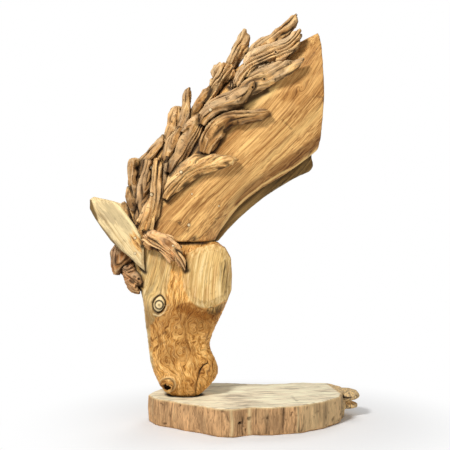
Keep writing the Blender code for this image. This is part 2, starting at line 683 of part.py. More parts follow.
# The forelock and the brow's strips, their depths told from the sheet
FORELOCK = [
    ("forelock_upper", [(132, 239, 8), (123.5, 252, 10.8), (118.6, 263, 7), (116.4, 274.5, 3)], (-2, -2), 18),
    ("forelock_lower", [(127, 265, 8), (135, 276, 10.5), (143, 280.5, 7.2), (148.5, 283.5, 3)], (-4, -4), 16),
]
BROW_STRIP = ([(143.5, 238.5, 5.5), (152, 240, 8.6), (160, 243.5, 7.8), (167, 251, 5.8), (172, 260.5, 2.4)],
              (-28, -31), 6)
BROW_SEED = 3.3
# The second strand of a forked strip, joined to the first and told from the same depth
FORKS = {
    "brow": ([(156, 236.5, 4), (168, 242, 6.4), (176.5, 250, 6.4), (181, 259.5, 4.4), (186, 270, 1.6)],
             (-28, -30), 5.5),
    "forelock_lower": ([(129.5, 279, 5), (133.5, 286.5, 5.4), (137, 290.5, 4), (141.5, 289, 1.6)],
                       (-4, -4), 12),
    "grey_wedge": ([(183, 133, 2), (190.5, 125.5, 3.8), (199, 116.5, 2.2)], (-24, -23), 5),
    "gnarled_root": ([(276, 57, 4), (288, 53, 4.4), (296, 43.5, 3.4), (300.3, 33, 1.4)], (-26, -23), 5),
}


def make_lock(name, stations, depths, thickness, seed, fork, parts, cutters, side=-1, base=0.0):
    """A strip of the mane, with its fork where it has one."""
    lock = solid(name, lock_bm(stations, depths, thickness, seed, side, base), DRIFTWOOD, parts)
    if fork in FORKS:
        strand = solid(name + "_fork", lock_bm(*FORKS[fork], seed + 0.6, side, base), DRIFTWOOD, cutters)
        combine(lock, helper(strand), "UNION")
        keep_largest(lock)
    return lock


def main():
    for obj in list(bpy.data.objects):
        bpy.data.objects.remove(obj)
    parts = collection_named("driftwood_horse_head")
    cutters = collection_named("cutters")
    placed = [make_slab(parts, cutters), make_head(parts, cutters), *make_neck(parts)]
    rooms = [(obj, grown(obj, FIT_GAP, cutters)) for obj in placed]
    loose = []
    for side, tag in ((-1, "near"), (1, "far")):
        brow = make_lock(f"brow_strip_{tag}", *BROW_STRIP, BROW_SEED, "brow", parts, cutters, side)
        loose += [make_ear(f"ear_{tag}", side, parts), brow]
    for seed, row in enumerate(FORELOCK + NEAR_LOCKS + FAR_LOCKS):
        base = 0.0 if row in FORELOCK else NECK_JOINT_DEPTH
        loose.append(make_lock(*row, seed + 1.0, row[0], parts, cutters, base=base))
    for obj in loose:
        for other, room in rooms:
            if meet(obj, other):
                combine(obj, room, "DIFFERENCE")
        keep_largest(obj)
        rooms.append((obj, grown(obj, FIT_GAP, cutters)))


main()
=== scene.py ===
"""Driftwood horse head on a live-edge slab: the carved relief and the finish of every piece.

A grazing horse's head and neck of teak root stands with its muzzle on a slice of trunk. Each piece of the
frame is remeshed finely, carved along its own grain and given its own wood. Metres, +Z up, -Y is the front.
"""

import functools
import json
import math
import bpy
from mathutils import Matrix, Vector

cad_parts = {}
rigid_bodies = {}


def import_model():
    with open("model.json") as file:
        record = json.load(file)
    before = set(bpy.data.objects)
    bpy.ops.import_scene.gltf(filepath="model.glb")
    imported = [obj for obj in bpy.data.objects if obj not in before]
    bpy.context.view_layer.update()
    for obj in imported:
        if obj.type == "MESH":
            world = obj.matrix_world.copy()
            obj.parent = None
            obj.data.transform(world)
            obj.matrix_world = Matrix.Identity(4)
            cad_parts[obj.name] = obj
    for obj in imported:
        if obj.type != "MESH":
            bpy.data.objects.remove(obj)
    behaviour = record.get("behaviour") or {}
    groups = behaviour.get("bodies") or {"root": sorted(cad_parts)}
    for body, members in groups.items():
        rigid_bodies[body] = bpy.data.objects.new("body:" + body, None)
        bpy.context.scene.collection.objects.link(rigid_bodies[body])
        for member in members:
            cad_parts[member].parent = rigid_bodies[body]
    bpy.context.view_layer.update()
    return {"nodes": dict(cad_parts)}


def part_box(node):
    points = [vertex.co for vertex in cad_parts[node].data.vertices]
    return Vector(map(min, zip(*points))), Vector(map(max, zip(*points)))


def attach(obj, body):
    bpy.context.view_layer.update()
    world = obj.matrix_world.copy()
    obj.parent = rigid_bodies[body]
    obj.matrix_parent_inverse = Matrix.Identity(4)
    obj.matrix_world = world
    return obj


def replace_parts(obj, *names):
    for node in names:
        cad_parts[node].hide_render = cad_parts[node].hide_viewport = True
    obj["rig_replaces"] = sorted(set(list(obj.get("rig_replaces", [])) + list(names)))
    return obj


bl_info = {
    "name": "Driftwood Horse Head",
    "version": (1, 0, 0),
    "blender": (4, 5, 0),
    "location": "3D View > Sidebar > Horse Head",
    "description": "Carves and finishes a driftwood horse head around its solid frame",
    "category": "Object",
}

import bmesh
import bpy
import numpy as np
from bpy.props import FloatProperty, FloatVectorProperty, PointerProperty
from bpy.types import Operator, Panel, PropertyGroup
from mathutils import Vector
from mathutils.bvhtree import BVHTree

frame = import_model()

# The squared-up elevation that places are told in: columns run right and rows run down. The head's block runs
# from the seam with the neck down to the slab, which gives the size of a square
SEAM_ROW = 241.3
SLAB_TOP_ROW = 394.5
ORIGIN_COLUMN = 255.5
HEAD_BOTTOM, HEAD_TOP = (corner.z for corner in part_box("head"))
SQUARE = (HEAD_TOP - HEAD_BOTTOM) / (SLAB_TOP_ROW - SEAM_ROW)

# The place that the elevation is seen from, in squares
VIEW_COLUMN, VIEW_ROW = 225.0, 225.0
VIEW_DISTANCE = 868.0
VIEWPOINT = Vector((VIEW_COLUMN - ORIGIN_COLUMN, -VIEW_DISTANCE, SLAB_TOP_ROW - VIEW_ROW)) * SQUARE
VIEWPOINT.z += HEAD_BOTTOM
MM = 0.001


def linear(hex_colour):
    """An sRGB hex colour as linear red, green and blue."""
    shares = [int(hex_colour[k:k + 2], 16) / 255 for k in (1, 3, 5)]
    return tuple(s / 12.92 if s <= 0.04045 else ((s + 0.055) / 1.055) ** 2.4 for s in shares)


def colour_property(name, description, hex_colour):
    """A colour that can be set in the panel."""
    return FloatVectorProperty(
        name=name, description=description, default=linear(hex_colour), size=3, min=0, max=1, subtype="COLOR"
    )


# The most that a depth of the carving can be set to
DEEPEST_CARVING = 0.1


def length_property(name, description, metres):
    """A length that can be set in the panel."""
    return FloatProperty(
        name=name, description=description, default=metres, min=0, max=DEEPEST_CARVING,
        subtype="DISTANCE", unit="LENGTH",
    )


class HorseSizes(PropertyGroup):
    """The depths and sizes of the carving."""

    strip_groove: length_property("Strip grooves", "Depth of the weathered grooves of the mane", 0.0050)
    strip_flute: length_property("Strip flutes", "Height of the ribs along the mane's strips", 0.0080)
    strip_gnarl: length_property("Strip gnarls", "Height of the lumps on the mane's strips", 0.0056)
    frayed_end: length_property("Frayed ends", "How ragged the strips' broken ends are", 0.010)
    tool_wave: length_property("Tool waves", "Height of the waves that hand tools left on the neck", 0.0016)
    figure_height: length_property("Figure", "Height of the burl figure on the face", 0.0013)
    eye_ring: length_property("Eye rings", "Depth of the carved rings of the eye", 0.0036)
    nostril_depth: length_property("Nostril depth", "Depth of the nostrils", 0.014)
    mouth_depth: length_property("Mouth depth", "Depth of the line of the mouth", 0.006)
    bark_flute: length_property("Bark flutes", "Depth of the flutes around the slab's side", 0.0046)
    saw_ripple: length_property("Saw ripples", "Height of the ripples on the slab's top", 0.0014)
    # How far dust and the painted contact shade reach from where two pieces meet
    dust_and_shade_reach: length_property("Dust reach", "How far dust shows from where two pieces meet", 0.019)
    plug_width: length_property("Plug width", "Diameter of the largest plugs over the screws", 0.0125)


class HorseColours(PropertyGroup):
    """The colours of the woods."""

    teak: colour_property("Teak heartwood", "Oiled heartwood of the neck", "#d09b5b")
    teak_dark: colour_property("Teak dark grain", "Dark grain lines of the heartwood", "#744310")
    teak_light: colour_property("Teak light grain", "Light streaks of the heartwood", "#ecbb76")
    burl: colour_property("Burl", "The figured wood of the face", "#e3a453")
    burl_dark: colour_property("Burl dark figure", "The dark lines of the face's figure", "#6a3c0c")
    sapwood: colour_property("Sapwood", "Pale sapwood of the cheeks and the forehead", "#e4be79")
    sapwood_dark: colour_property("Sapwood grain", "The grain lines of the sapwood", "#c0924f")
    ear: colour_property("Ear", "Bleached sapwood of the ears", "#e6cd9a")
    golden_root: colour_property("Golden root", "The freshly brushed root wood", "#e9af68")
    brow_root: colour_property("Brow root", "The brushed root wood of the brows", "#ecb273")
    brown_root: colour_property("Brown root", "The weathered root wood", "#b68a55")
    grey_root: colour_property("Grey root", "The silvered root wood", "#ccb38b")
    # Also the painted highlight on the roots' faces turned to the light
    bleached_and_lit: colour_property("Bleached root", "The worn and bleached tops of the root wood", "#f0d8ae")
    pink_root: colour_property("Pink root", "The reddish root wood of the forelock", "#af7b4e")
    # Also the colour of the painted shade in hollows, cracks, joints and undersides
    root_dark_and_shade: colour_property("Root hollows", "Old dark wood in the hollows of the roots", "#221208")
    board: colour_property("Far board", "The shaded, greyer half log behind", "#80663c")
    slab_top: colour_property("Slab top", "The sawn face of the slab", "#f8e6c5")
    slab_side: colour_property("Slab side", "The slab's side under the bark", "#c89d6f")
    plug: colour_property("Plug", "End grain of the plugs", "#dfc79c")


def sizes():
    """The depths and sizes that are set."""
    return bpy.context.scene.horse_sizes


def colours():
    """The colours that are set."""
    return bpy.context.scene.horse_colours


# Noise for the relief. It gives the same values each run, from a hash of the lattice and a seed.
GRADIENTS = np.array([
    (1, 1, 0), (-1, 1, 0), (1, -1, 0), (-1, -1, 0), (1, 0, 1), (-1, 0, 1), (1, 0, -1), (-1, 0, -1),
    (0, 1, 1), (0, -1, 1), (0, 1, -1), (0, -1, -1), (1, 1, 0), (-1, 1, 0), (0, -1, 1), (0, -1, -1),
], float)
HASH_PRIMES = (73856093, 19349663, 83492791, 49979687)
HASH_MASK = 0xFFFFFFFF


def hashed(cells, seed):
    """A whole number from 0 to 2**32 for each lattice cell."""
    mixed = cells @ np.array(HASH_PRIMES[:3], np.int64) ^ (seed * HASH_PRIMES[3])
    mixed &= HASH_MASK
    for shift, factor in ((15, 0x2C1B3C6D), (12, 0x297A2D39)):
        mixed = ((mixed ^ (mixed >> shift)) * factor) & HASH_MASK
    return mixed ^ (mixed >> 15)


def wander(points, seed):
    """Gradient noise at points, an (n, 3) array, from about -1 to 1."""
    cell = np.floor(points).astype(np.int64)
    part = points - cell
    fade = part**3 * (part * (part * 6 - 15) + 10)
    total = np.zeros(len(points))
    for corner in np.ndindex(2, 2, 2):
        slope = GRADIENTS[hashed(cell + corner, seed) & 15]
        weight = np.prod(np.where(corner, fade, 1 - fade), axis=1)
        total += weight * np.einsum("ij,ij->i", part - corner, slope)
    return total


def grainy(shape, across, along, seed):
    """Noise drawn out along a piece's grain, by its wavelengths in metres."""
    return wander(shape.grain / (across, across, along) + seed * 0.37, seed)


def even(shape, size, seed):
    """Noise that is alike in all directions, by its wavelength in metres."""
    return wander(shape.points / size + seed * 0.61, seed)


def crease(value, width):
    """1 where a noise crosses 0, falling to 0 at a width from there."""
    return np.clip(1 - np.abs(value) / width, 0, 1) ** 1.5


def rise(low, high, value):
    """0 at low and 1 at high, with a smooth slope between. Low may be the larger of the two."""
    t = np.clip((value - low) / (high - low), 0, 1)
    return t * t * (3 - 2 * t)


def most(*values):
    """The largest of some values, point by point."""
    return functools.reduce(np.maximum, values)


def ridged(field):
    """Roof-shaped ridges, one to each whole number: 1 on the crest, 0 in the valley, straight between."""
    return 1 - 2 * np.abs(field - np.floor(field) - 0.5)


class Shape:
    """A piece's fine mesh while it is carved: its points, normals, grain coordinates and masks."""

    def __init__(self, mesh, grain_of):
        self.points = vectors(mesh)
        self.normals = vectors(mesh, "normal")
        self.grain = grain_of(self.points)
        self.column, self.row = seen(self.points)
        self.height = np.zeros(len(self.points))
        self.hollow = np.zeros(len(self.points))
        self.masks = {}

    def oval(self, column, row, reach_column, reach_row, lean):
        """Each point's place across and down a leaning oval of the elevation, in shares of its half sizes."""
        across = self.column - column
        down = self.row - row
        cos, sin = math.cos(math.radians(lean)), math.sin(math.radians(lean))
        return (across * cos + down * sin) / reach_column, (down * cos - across * sin) / reach_row

    def near(self, column, row, reach_column, reach_row=None, lean=0.0):
        """How far each point is from a place of the elevation, as a share of a leaning oval's half sizes."""
        return np.hypot(*self.oval(column, row, reach_column, reach_row or reach_column, lean))

    def drop(self, column, row, reach_column, reach_row, lean, low_power=2.0):
        """Like near, for an oval that is pointed at its top, and at its foot too with a low power."""
        across, down = self.oval(column, row, reach_column, reach_row, lean)
        return np.sqrt(np.abs(across) ** np.where(down < 0, POINTED, low_power) + down**2)

    def line(self, points, closed=False):
        """The distance of each point from a line of the elevation, in squares."""
        nearest = np.full(len(self.column), np.inf)
        for (x0, y0), (x1, y1) in zip(points, points[1:] + points[:1] if closed else points[1:]):
            run_x, run_y = x1 - x0, y1 - y0
            share = ((self.column - x0) * run_x + (self.row - y0) * run_y) / (run_x**2 + run_y**2)
            share = np.clip(share, 0, 1)
            gap = np.hypot(self.column - x0 - share * run_x, self.row - y0 - share * run_y)
            nearest = np.minimum(nearest, gap)
        return nearest

    def within(self, outline):
        """How deep each point lies inside an outline of the elevation, in squares, negative outside."""
        inside = np.zeros(len(self.column), bool)
        for (x0, y0), (x1, y1) in zip(outline, outline[1:] + outline[:1]):
            crosses = (y0 > self.row) != (y1 > self.row)
            slope = (x1 - x0) / ((y1 - y0) or 1e-9)
            inside ^= crosses & (self.column < x0 + slope * (self.row - y0))
        gap = self.line(outline, closed=True)
        return np.where(inside, gap, -gap)

    def patch(self, outline, low, high, wobble=0.0):
        """0 where a point lies less than low inside an outline and 1 where it lies more than high inside."""
        return rise(low, high, self.within(outline) + wobble)

    def stroke(self, points, wide, narrow, wobble=0.0):
        """1 out to narrow from a line of the elevation and 0 past wide, or turned round if it is smaller."""
        return rise(wide, narrow, self.line(points) + wobble)

    def darken(self, values):
        """Deepens the dark marks and the painted shade where some values are higher."""
        self.hollow = most(self.hollow, values)

    def flow_around(self, column, row, reach):
        """Bends the grain round a knot at a place of the elevation, as water parts round a post."""
        across = self.column - column
        squared = across**2 + (self.row - row) ** 2 + (KNOT_SOFTNESS * reach) ** 2
        self.grain[:, 0] -= reach**2 * across / squared * SQUARE

    def front(self):
        """1 on faces turned to the front."""
        return rise(0.0, 0.35, -self.normals[:, 1])

    def either_side(self):
        """1 on faces turned to the front or the back."""
        return rise(0.25, 0.6, np.abs(self.normals[:, 1]))


# How wide a knot's middle is, where the grain bends less, as a share of its reach, and the power of an oval's
# pointed end
KNOT_SOFTNESS = 0.45
POINTED = 1.3


def vectors(mesh, kind="co"):
    """The places of a mesh's points or, by the kind normal, their normals."""
    flat = np.zeros(len(mesh.vertices) * 3, np.float32)
    mesh.vertices.foreach_get(kind, flat)
    return flat.reshape(-1, 3).astype(float)


def seen(points):
    """Column and row of points as the elevation's viewpoint sees them, the far side folded onto the near."""
    depth = -np.abs(points[:, 1]) / SQUARE
    spread = 1 + depth / VIEW_DISTANCE
    column = VIEW_COLUMN + (points[:, 0] - VIEWPOINT.x) / SQUARE / spread
    row = VIEW_ROW - (points[:, 2] - VIEWPOINT.z) / SQUARE / spread
    return column, row


def straight_grain(axis=None, bends=3, twist=0.0):
    """Grain along a piece's longest way, or an axis, that follows its bends and twists by radians a metre."""

    def grain_of(points):
        centre = points.mean(0)
        spread = np.cov((points - centre).T)
        _, ways = np.linalg.eigh(spread)
        ways = ways.T[::-1]
        if axis is not None:
            ways = np.roll(np.eye(3), -axis, axis=0)
        ways = np.array([way * np.sign(way[np.argmax(np.abs(way))]) for way in ways])
        local = (points - centre) @ ways.T
        for k in (1, 2):
            bend = np.polyfit(local[:, 0], local[:, k], bends)
            local[:, k] -= np.polyval(bend, local[:, 0])
        turn = twist * local[:, 0]
        across = local[:, 1] * np.cos(turn) - local[:, 2] * np.sin(turn)
        through = local[:, 1] * np.sin(turn) + local[:, 2] * np.cos(turn)
        return np.column_stack((across, through, local[:, 0]))

    return grain_of


def relax(mesh, rounds, pull=0.5, push=-0.52):
    """Smooths a mesh's facets without shrinking it: it pulls each point to its neighbours and pushes back."""
    points = vectors(mesh)
    edges = np.zeros(len(mesh.edges) * 2, np.int32)
    mesh.edges.foreach_get("vertices", edges)
    first, second = edges.reshape(-1, 2).T
    count = np.bincount(first, minlength=len(points)) + np.bincount(second, minlength=len(points))
    for step in range(rounds * 2):
        mean = np.empty_like(points)
        for k in range(3):
            total = np.bincount(first, points[second, k], len(points))
            total += np.bincount(second, points[first, k], len(points))
            mean[:, k] = total / np.maximum(count, 1)
        points += (mean - points) * (pull if step % 2 == 0 else push)
    mesh.vertices.foreach_set("co", points.astype(np.float32).ravel())
    mesh.update()


def placed(name, data):
    """An object of the scene, made from a mesh, a light or a camera."""
    made = bpy.data.objects.new(name, data)
    bpy.context.scene.collection.objects.link(made)
    return made


def remeshed(node, voxel):
    """A copy of a frame piece's mesh in even small faces."""
    holder = placed(node + "_source", frame["nodes"][node].data.copy())
    bm = bmesh.new()
    bm.from_mesh(holder.data)
    bmesh.ops.remove_doubles(bm, verts=bm.verts, dist=0.02 * MM)
    bm.to_mesh(holder.data)
    bm.free()
    remesh = holder.modifiers.new("fine", "REMESH")
    remesh.mode = "VOXEL"
    remesh.voxel_size = voxel
    graph = bpy.context.evaluated_depsgraph_get()
    mesh = bpy.data.meshes.new_from_object(holder.evaluated_get(graph))
    bpy.data.objects.remove(holder)
    mesh.materials.clear()
    return mesh


def refine(mesh, places):
    """Cuts the faces in four around places of the elevation: (column, row, reach in squares)."""
    column, row = seen(vectors(mesh))
    chosen = np.zeros(len(column), bool)
    for at_column, at_row, reach in places:
        chosen |= np.hypot(column - at_column, row - at_row) < reach
    bm = bmesh.new()
    bm.from_mesh(mesh)
    bm.verts.ensure_lookup_table()
    edges = [e for e in bm.edges if chosen[e.verts[0].index] and chosen[e.verts[1].index]]
    bmesh.ops.subdivide_edges(bm, edges=edges, cuts=1, use_grid_fill=True)
    bm.to_mesh(mesh)
    bm.free()
    mesh.update()


def dust_and_contact_shade(points, node):
    """Where old dust and a painted contact shade lie: 1 at another piece of wood, 0 beyond the reach, thinner
    above a piece, so that the painted shade gathers under things.
    """
    corners, faces = [], []
    for other, obj in frame["nodes"].items():
        if other != node:
            start = len(corners)
            corners += [v.co for v in obj.data.vertices]
            faces += [[start + i for i in face.vertices] for face in obj.data.polygons]
    tree = BVHTree.FromPolygons(corners, faces)
    reach = sizes().dust_and_shade_reach
    lying = np.zeros(len(points))
    for k, point in enumerate(points.tolist()):
        near, _, _, gap = tree.find_nearest(point, reach)
        if near is not None:
            lying[k] = (1 - gap / reach) * (0.72 + 0.55 * (near.z - point[2]) / max(gap, MM))
    return rise(0.05, 0.8, lying)


def carved(node, name, material, voxel, relief, grain_of, rounds=8, grow=0.0, places=(), dust_and_shade_darkness=0.93):
    """Makes the visible piece of a node: remeshed, smoothed, carved by its relief, and set on the frame.

    The rounds are of smoothing, the places are cut finer, and the last is how dark the dust and the painted
    contact shade at its joints are.
    """
    mesh = remeshed(node, voxel)
    relax(mesh, rounds)
    for finer in places:
        refine(mesh, finer)
        relax(mesh, 1)
    shape = Shape(mesh, grain_of)
    relief(shape)
    # dust at the joints, and painted shade where the piece meets the others, deepest under them
    shape.darken(dust_and_shade_darkness * dust_and_contact_shade(shape.points, node))
    # a ring of painted shade in the gap round each plug
    for column, row, share in PLUG_PLACES:
        ring = shape.near(column, row, share * sizes().plug_width / 2 / SQUARE)
        shape.darken(rise(1.55, 1.05, ring) * shape.front() * 0.8)
    moved = shape.points + shape.normals * (shape.height + grow)[:, None]
    mesh.vertices.foreach_set("co", moved.astype(np.float32).ravel())
    for mask, values in {"hollow": shape.hollow, **shape.masks}.items():
        attribute = mesh.attributes.new(mask, "FLOAT", "POINT")
        attribute.data.foreach_set("value", np.clip(values, 0, 1).astype(np.float32))
    attribute = mesh.attributes.new("grain", "FLOAT_VECTOR", "POINT")
    attribute.data.foreach_set("vector", shape.grain.astype(np.float32).ravel())
    mesh.update()
    mesh.shade_smooth()
    mesh.materials.append(material)
    mesh.name = name
    piece = placed(name, mesh)
    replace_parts(piece, node)
    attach(piece, "root")


# Materials
def add(tree, kind, inputs=None, stops=None, **settings):
    """Adds a node with its settings and its inputs, each a value or a socket to link, and a ramp's stops."""
    made = tree.nodes.new("ShaderNode" + kind)
    for name, value in settings.items():
        setattr(made, name, value)
    for key, value in (inputs or {}).items():
        if isinstance(value, bpy.types.NodeSocket):
            tree.links.new(value, made.inputs[key])
        else:
            made.inputs[key].default_value = value
    for k, (position, colour) in enumerate(stops or []):
        ramp = made.color_ramp.elements
        element = ramp[k] if k < len(ramp) else ramp.new(position)
        element.position = position
        element.color = colour
    return made


def opaque(colour):
    """A colour with its alpha, for a node. A socket stays as it is."""
    return colour if isinstance(colour, bpy.types.NodeSocket) else (*colour[:3], 1.0)


def shaded(colour, factor):
    """A colour, lighter or darker by a factor."""
    return tuple(min(c * factor, 1.0) for c in colour)


# Where a sunlit colour's red would rise past 1: how pale it turns, and how far its green and blue are held
SUNLIT_PALENESS = 0.3
SUNLIT_HOLD = 0.45


def sunlit(colour, factor):
    """A colour, lighter by a factor: where its red can't rise further it turns paler, and less yellow."""
    peak = max(max(colour) * factor, 1.0)
    kept = [min(c * factor / peak**SUNLIT_HOLD, 1.0) for c in colour]
    return tuple(c + (1 - c) * (1 - 1 / peak) * SUNLIT_PALENESS for c in kept)


# How fast red, green and blue fall off in old oil and shade
WARM_SHADE = (1, 0.84, 0.6)


def deepened(colour, factor):
    """A darker and warmer colour, as old oil and shade make wood: the blue falls off fastest."""
    return tuple(c * factor * share for c, share in zip(colour, WARM_SHADE))


# The share of a smooth surface's reflection that open grain leaves
GRAIN_GLOSS = 0.4


def new_material(name, ior=1.46, roughness=0.5):
    """A material and its node tree. A wood's roughness is linked later, by finish."""
    material = bpy.data.materials.new(name)
    material.use_nodes = True
    shader = material.node_tree.nodes["Principled BSDF"]
    shader.inputs["Specular IOR Level"].default_value = 0.5 * GRAIN_GLOSS
    shader.inputs["Roughness"].default_value = roughness
    shader.inputs["IOR"].default_value = ior
    return material, material.node_tree


def grain_vector(tree, across_mm, along_mm, seed, warp_mm, warp_size_mm, through_mm=None):
    """The grain's coordinates, one unit to a streak, bent by a slow noise where the figure curls."""
    grain = add(tree, "Attribute", attribute_name="grain").outputs["Vector"]
    slow = add(tree, "VectorMath", {0: grain, 1: (1000 / warp_size_mm,) * 3}, operation="MULTIPLY")
    bend = add(tree, "TexNoise", {"Vector": slow.outputs[0], "Scale": 1.0, "Detail": 2.0})
    level = add(tree, "VectorMath", {0: bend.outputs["Color"], 1: (0.5, 0.5, 0.5)}, operation="SUBTRACT")
    shift = add(tree, "VectorMath", {0: level.outputs[0], 1: (2 * warp_mm * MM,) * 3}, operation="MULTIPLY")
    bent = add(tree, "VectorMath", {0: grain, 1: shift.outputs[0]}, operation="ADD")
    scale = (1000 / across_mm, 1000 / (through_mm or across_mm), 1000 / along_mm)
    place = (seed, seed * 1.7, seed * 0.6)
    return add(
        tree, "VectorMath", {0: bent.outputs[0], 1: scale, 2: place}, operation="MULTIPLY_ADD"
    ).outputs[0]


def laid_over(tree, wood, *coats):
    """A wood with coats laid over it, each told by a mask's name, its share, the colour and the blend."""
    for name, share, colour, *blend in coats:
        held = add(tree, "Attribute", attribute_name=name).outputs["Fac"]
        held = add(tree, "Math", {0: held, 1: share}, operation="MULTIPLY").outputs[0]
        way = blend[0] if blend else "MIX"
        ends = {0: held, 6: opaque(wood), 7: opaque(colour)}
        wood = add(tree, "Mix", ends, data_type="RGBA", blend_type=way).outputs[2]
    return wood


def streaks(tree, vector, dark, middle, light, contrast, detail=4.0):
    """Wood grain: dark, middle and light streaks from a noise, and the noise itself."""
    noise = add(tree, "TexNoise", {"Vector": vector, "Scale": 1.0, "Detail": detail, "Roughness": 0.62})
    ramp = add(tree, "ValToRGB", {"Fac": noise.outputs["Fac"]}, stops=[
        (0.5 - contrast, opaque(dark)), (0.5 + contrast, opaque(light)), (0.5, opaque(middle)),
    ])
    return ramp.outputs["Color"], noise.outputs["Fac"]


def grained(tree, *layers):
    """Layers of streaks, the broadest first, mixed by the share of each later one, and the last one's noise.

    A layer is its share, the grain's values for grain_vector, and the colours and contrast for streaks.
    """
    wood = (0.0, 0.0, 0.0)
    for share, grain, *look in layers:
        layer, height = streaks(tree, grain_vector(tree, *grain), *look)
        wood = add(tree, "Mix", {0: share, 6: opaque(wood), 7: layer}, data_type="RGBA").outputs[2]
    return wood, height


def speckle(tree, wood, grain, dark, share):
    """A wood with short dark flecks, its open pores."""
    noise = add(tree, "TexNoise", {
        "Vector": grain_vector(tree, *grain), "Scale": 1.0, "Detail": 2.0, "Roughness": 0.5,
    })
    fleck = add(tree, "MapRange", {
        "Value": noise.outputs["Fac"], "From Min": 0.6, "From Max": 0.72, "To Max": share,
    })
    ends = {0: fleck.outputs["Result"], 6: wood, 7: opaque(dark)}
    return add(tree, "Mix", ends, data_type="RGBA").outputs[2]


def finish(material, wood, height, bump_mm, roughness_low, roughness_high, darkness=1.0):
    """Lays the dark marks and the painted shade over a wood, and links it, its fine relief and its sheen."""
    tree = material.node_tree
    inputs = tree.nodes["Principled BSDF"].inputs
    # the dark marks, and the painted shade of hollows, joints and undersides
    wood = laid_over(tree, wood, ("hollow", 1, shaded(colours().root_dark_and_shade, darkness)))
    tree.links.new(wood, inputs["Base Color"])
    bump = add(tree, "Bump", {"Height": height, "Strength": 1.0, "Distance": bump_mm * MM})
    tree.links.new(bump.outputs["Normal"], inputs["Normal"])
    spread = add(tree, "MapRange", {"Value": height, "To Min": roughness_high, "To Max": roughness_low})
    tree.links.new(spread.outputs["Result"], inputs["Roughness"])
    return material


def oiled_teak_heartwood(name, base, dark, light, seed):
    """Teak heartwood, shaped with an angle grinder, sanded and oiled.

    It gives straight grain with fine dark lines, broad lighter bands and a low satin sheen. Its grain lines
    are 1 to 2 mm apart, drawn here 5 mm apart so that they show.
    """
    tones = colours()
    material, tree = new_material(name)
    wood, height = grained(
        tree,
        (1, (56, 300, seed + 7, 30, 90), deepened(base, 0.48), base, shaded(light, 1.2), 0.12),
        (0.5, (24, 900, seed + 3, 18, 160), deepened(base, 0.4), base, shaded(light, 1.25), 0.12),
        (0.46, (4.5, 420, seed, 5, 120), deepened(dark, 0.7), base, shaded(light, 1.3), 0.1),
    )
    sap = (1, (6, 200, seed + 5, 4, 120), tones.teak_light, tones.sapwood, shaded(tones.sapwood, 1.1), 0.2)
    old = (1, (7, 300, seed + 9, 8, 60), deepened(dark, 0.7), deepened(base, 0.66), base, 0.14)
    wood = laid_over(tree, wood, ("pale", 0.85, grained(tree, sap)[0]), ("stain", 1, grained(tree, old)[0]))
    wood = speckle(tree, wood, (4, 26, seed + 11, 2, 60), dark, 0.5)
    return finish(material, wood, height, 0.9, 0.42, 0.62)


# How the shadowed flute and the lines of the figure tint the burl
FIGURE_TINT = (0.4, 0.28, 0.14)


def figured_teak_burl(name):
    """Teak from the root's crown, with curly figure and pale sapwood left on the forehead and the cheeks.

    It gives dark lines that swirl around knots on a warm ground, and straight pale grain on the sapwood.
    """
    tones = colours()
    material, tree = new_material(name)
    light, ear, board = tones.teak_light, tones.ear, tones.board
    burl, height = grained(
        tree,
        (1, (19, 90, 8, 8, 60), deepened(tones.burl, 0.4), tones.burl, shaded(light, 1.15), 0.12),
        (0.58, (4, 36, 4, 5, 30), deepened(tones.burl_dark, 0.9), tones.burl, shaded(light, 1.3), 0.1),
    )
    sap, _ = grained(
        tree,
        (1, (20, 150, 3, 8, 80), shaded(tones.golden_root, 0.75), tones.sapwood, shaded(ear, 1.15), 0.12),
        (0.5, (5, 220, 2, 3, 90), shaded(tones.sapwood_dark, 0.55), tones.sapwood, shaded(ear, 1.25), 0.12),
    )
    silver = (1, (6, 120, 6, 2, 90), shaded(board, 0.38), shaded(board, 1.15), tones.sapwood, 0.14)
    sap = laid_over(tree, sap, ("silver", 1, grained(tree, silver)[0]))
    wood = laid_over(
        tree, burl, ("pale", 1, sap), ("stain", 1, FIGURE_TINT, "MULTIPLY"), ("cream", 1, shaded(ear, 1.15))
    )
    wood = speckle(tree, wood, (4, 20, 13, 3, 30), tones.burl_dark, 0.5)
    return finish(material, wood, height, 0.8, 0.42, 0.62, 0.7)


def sapwood_plank(name):
    """A riven plank of teak sapwood, planed thin and left to grey at its rim.

    It gives a pale, dry face with faint straight grain, grey shadows and orange heartwood by the root.
    """
    tones = colours()
    material, tree = new_material(name)
    ear = tones.ear
    wood, height = grained(
        tree,
        (1, (20, 110, 5, 16, 50), shaded(tones.grey_root, 0.5), ear, shaded(ear, 1.2), 0.12),
        (0.5, (5, 150, 1, 3, 90), shaded(tones.sapwood_dark, 0.7), ear, shaded(ear, 1.2), 0.14),
    )
    orange = (1, (5, 50, 9, 8, 40), shaded(tones.burl_dark, 0.8), tones.golden_root, tones.sapwood, 0.12)
    wood = laid_over(
        tree, wood, ("gold", 1, shaded(ear, 0.7)), ("pale", 1, shaded(ear, 1.35)),
        ("silver", 1, shaded(tones.board, 0.8)), ("stain", 1, grained(tree, orange)[0]),
    )
    return finish(material, wood, height, 0.5, 0.55, 0.75)


# How the darkest strips tint the wood, and how the worn tops with their painted highlight do
DEEP_TINT = (0.38, 0.27, 0.155)
BLEACHED_AND_LIT_TINT = (1.2, 1.3, 1.7)


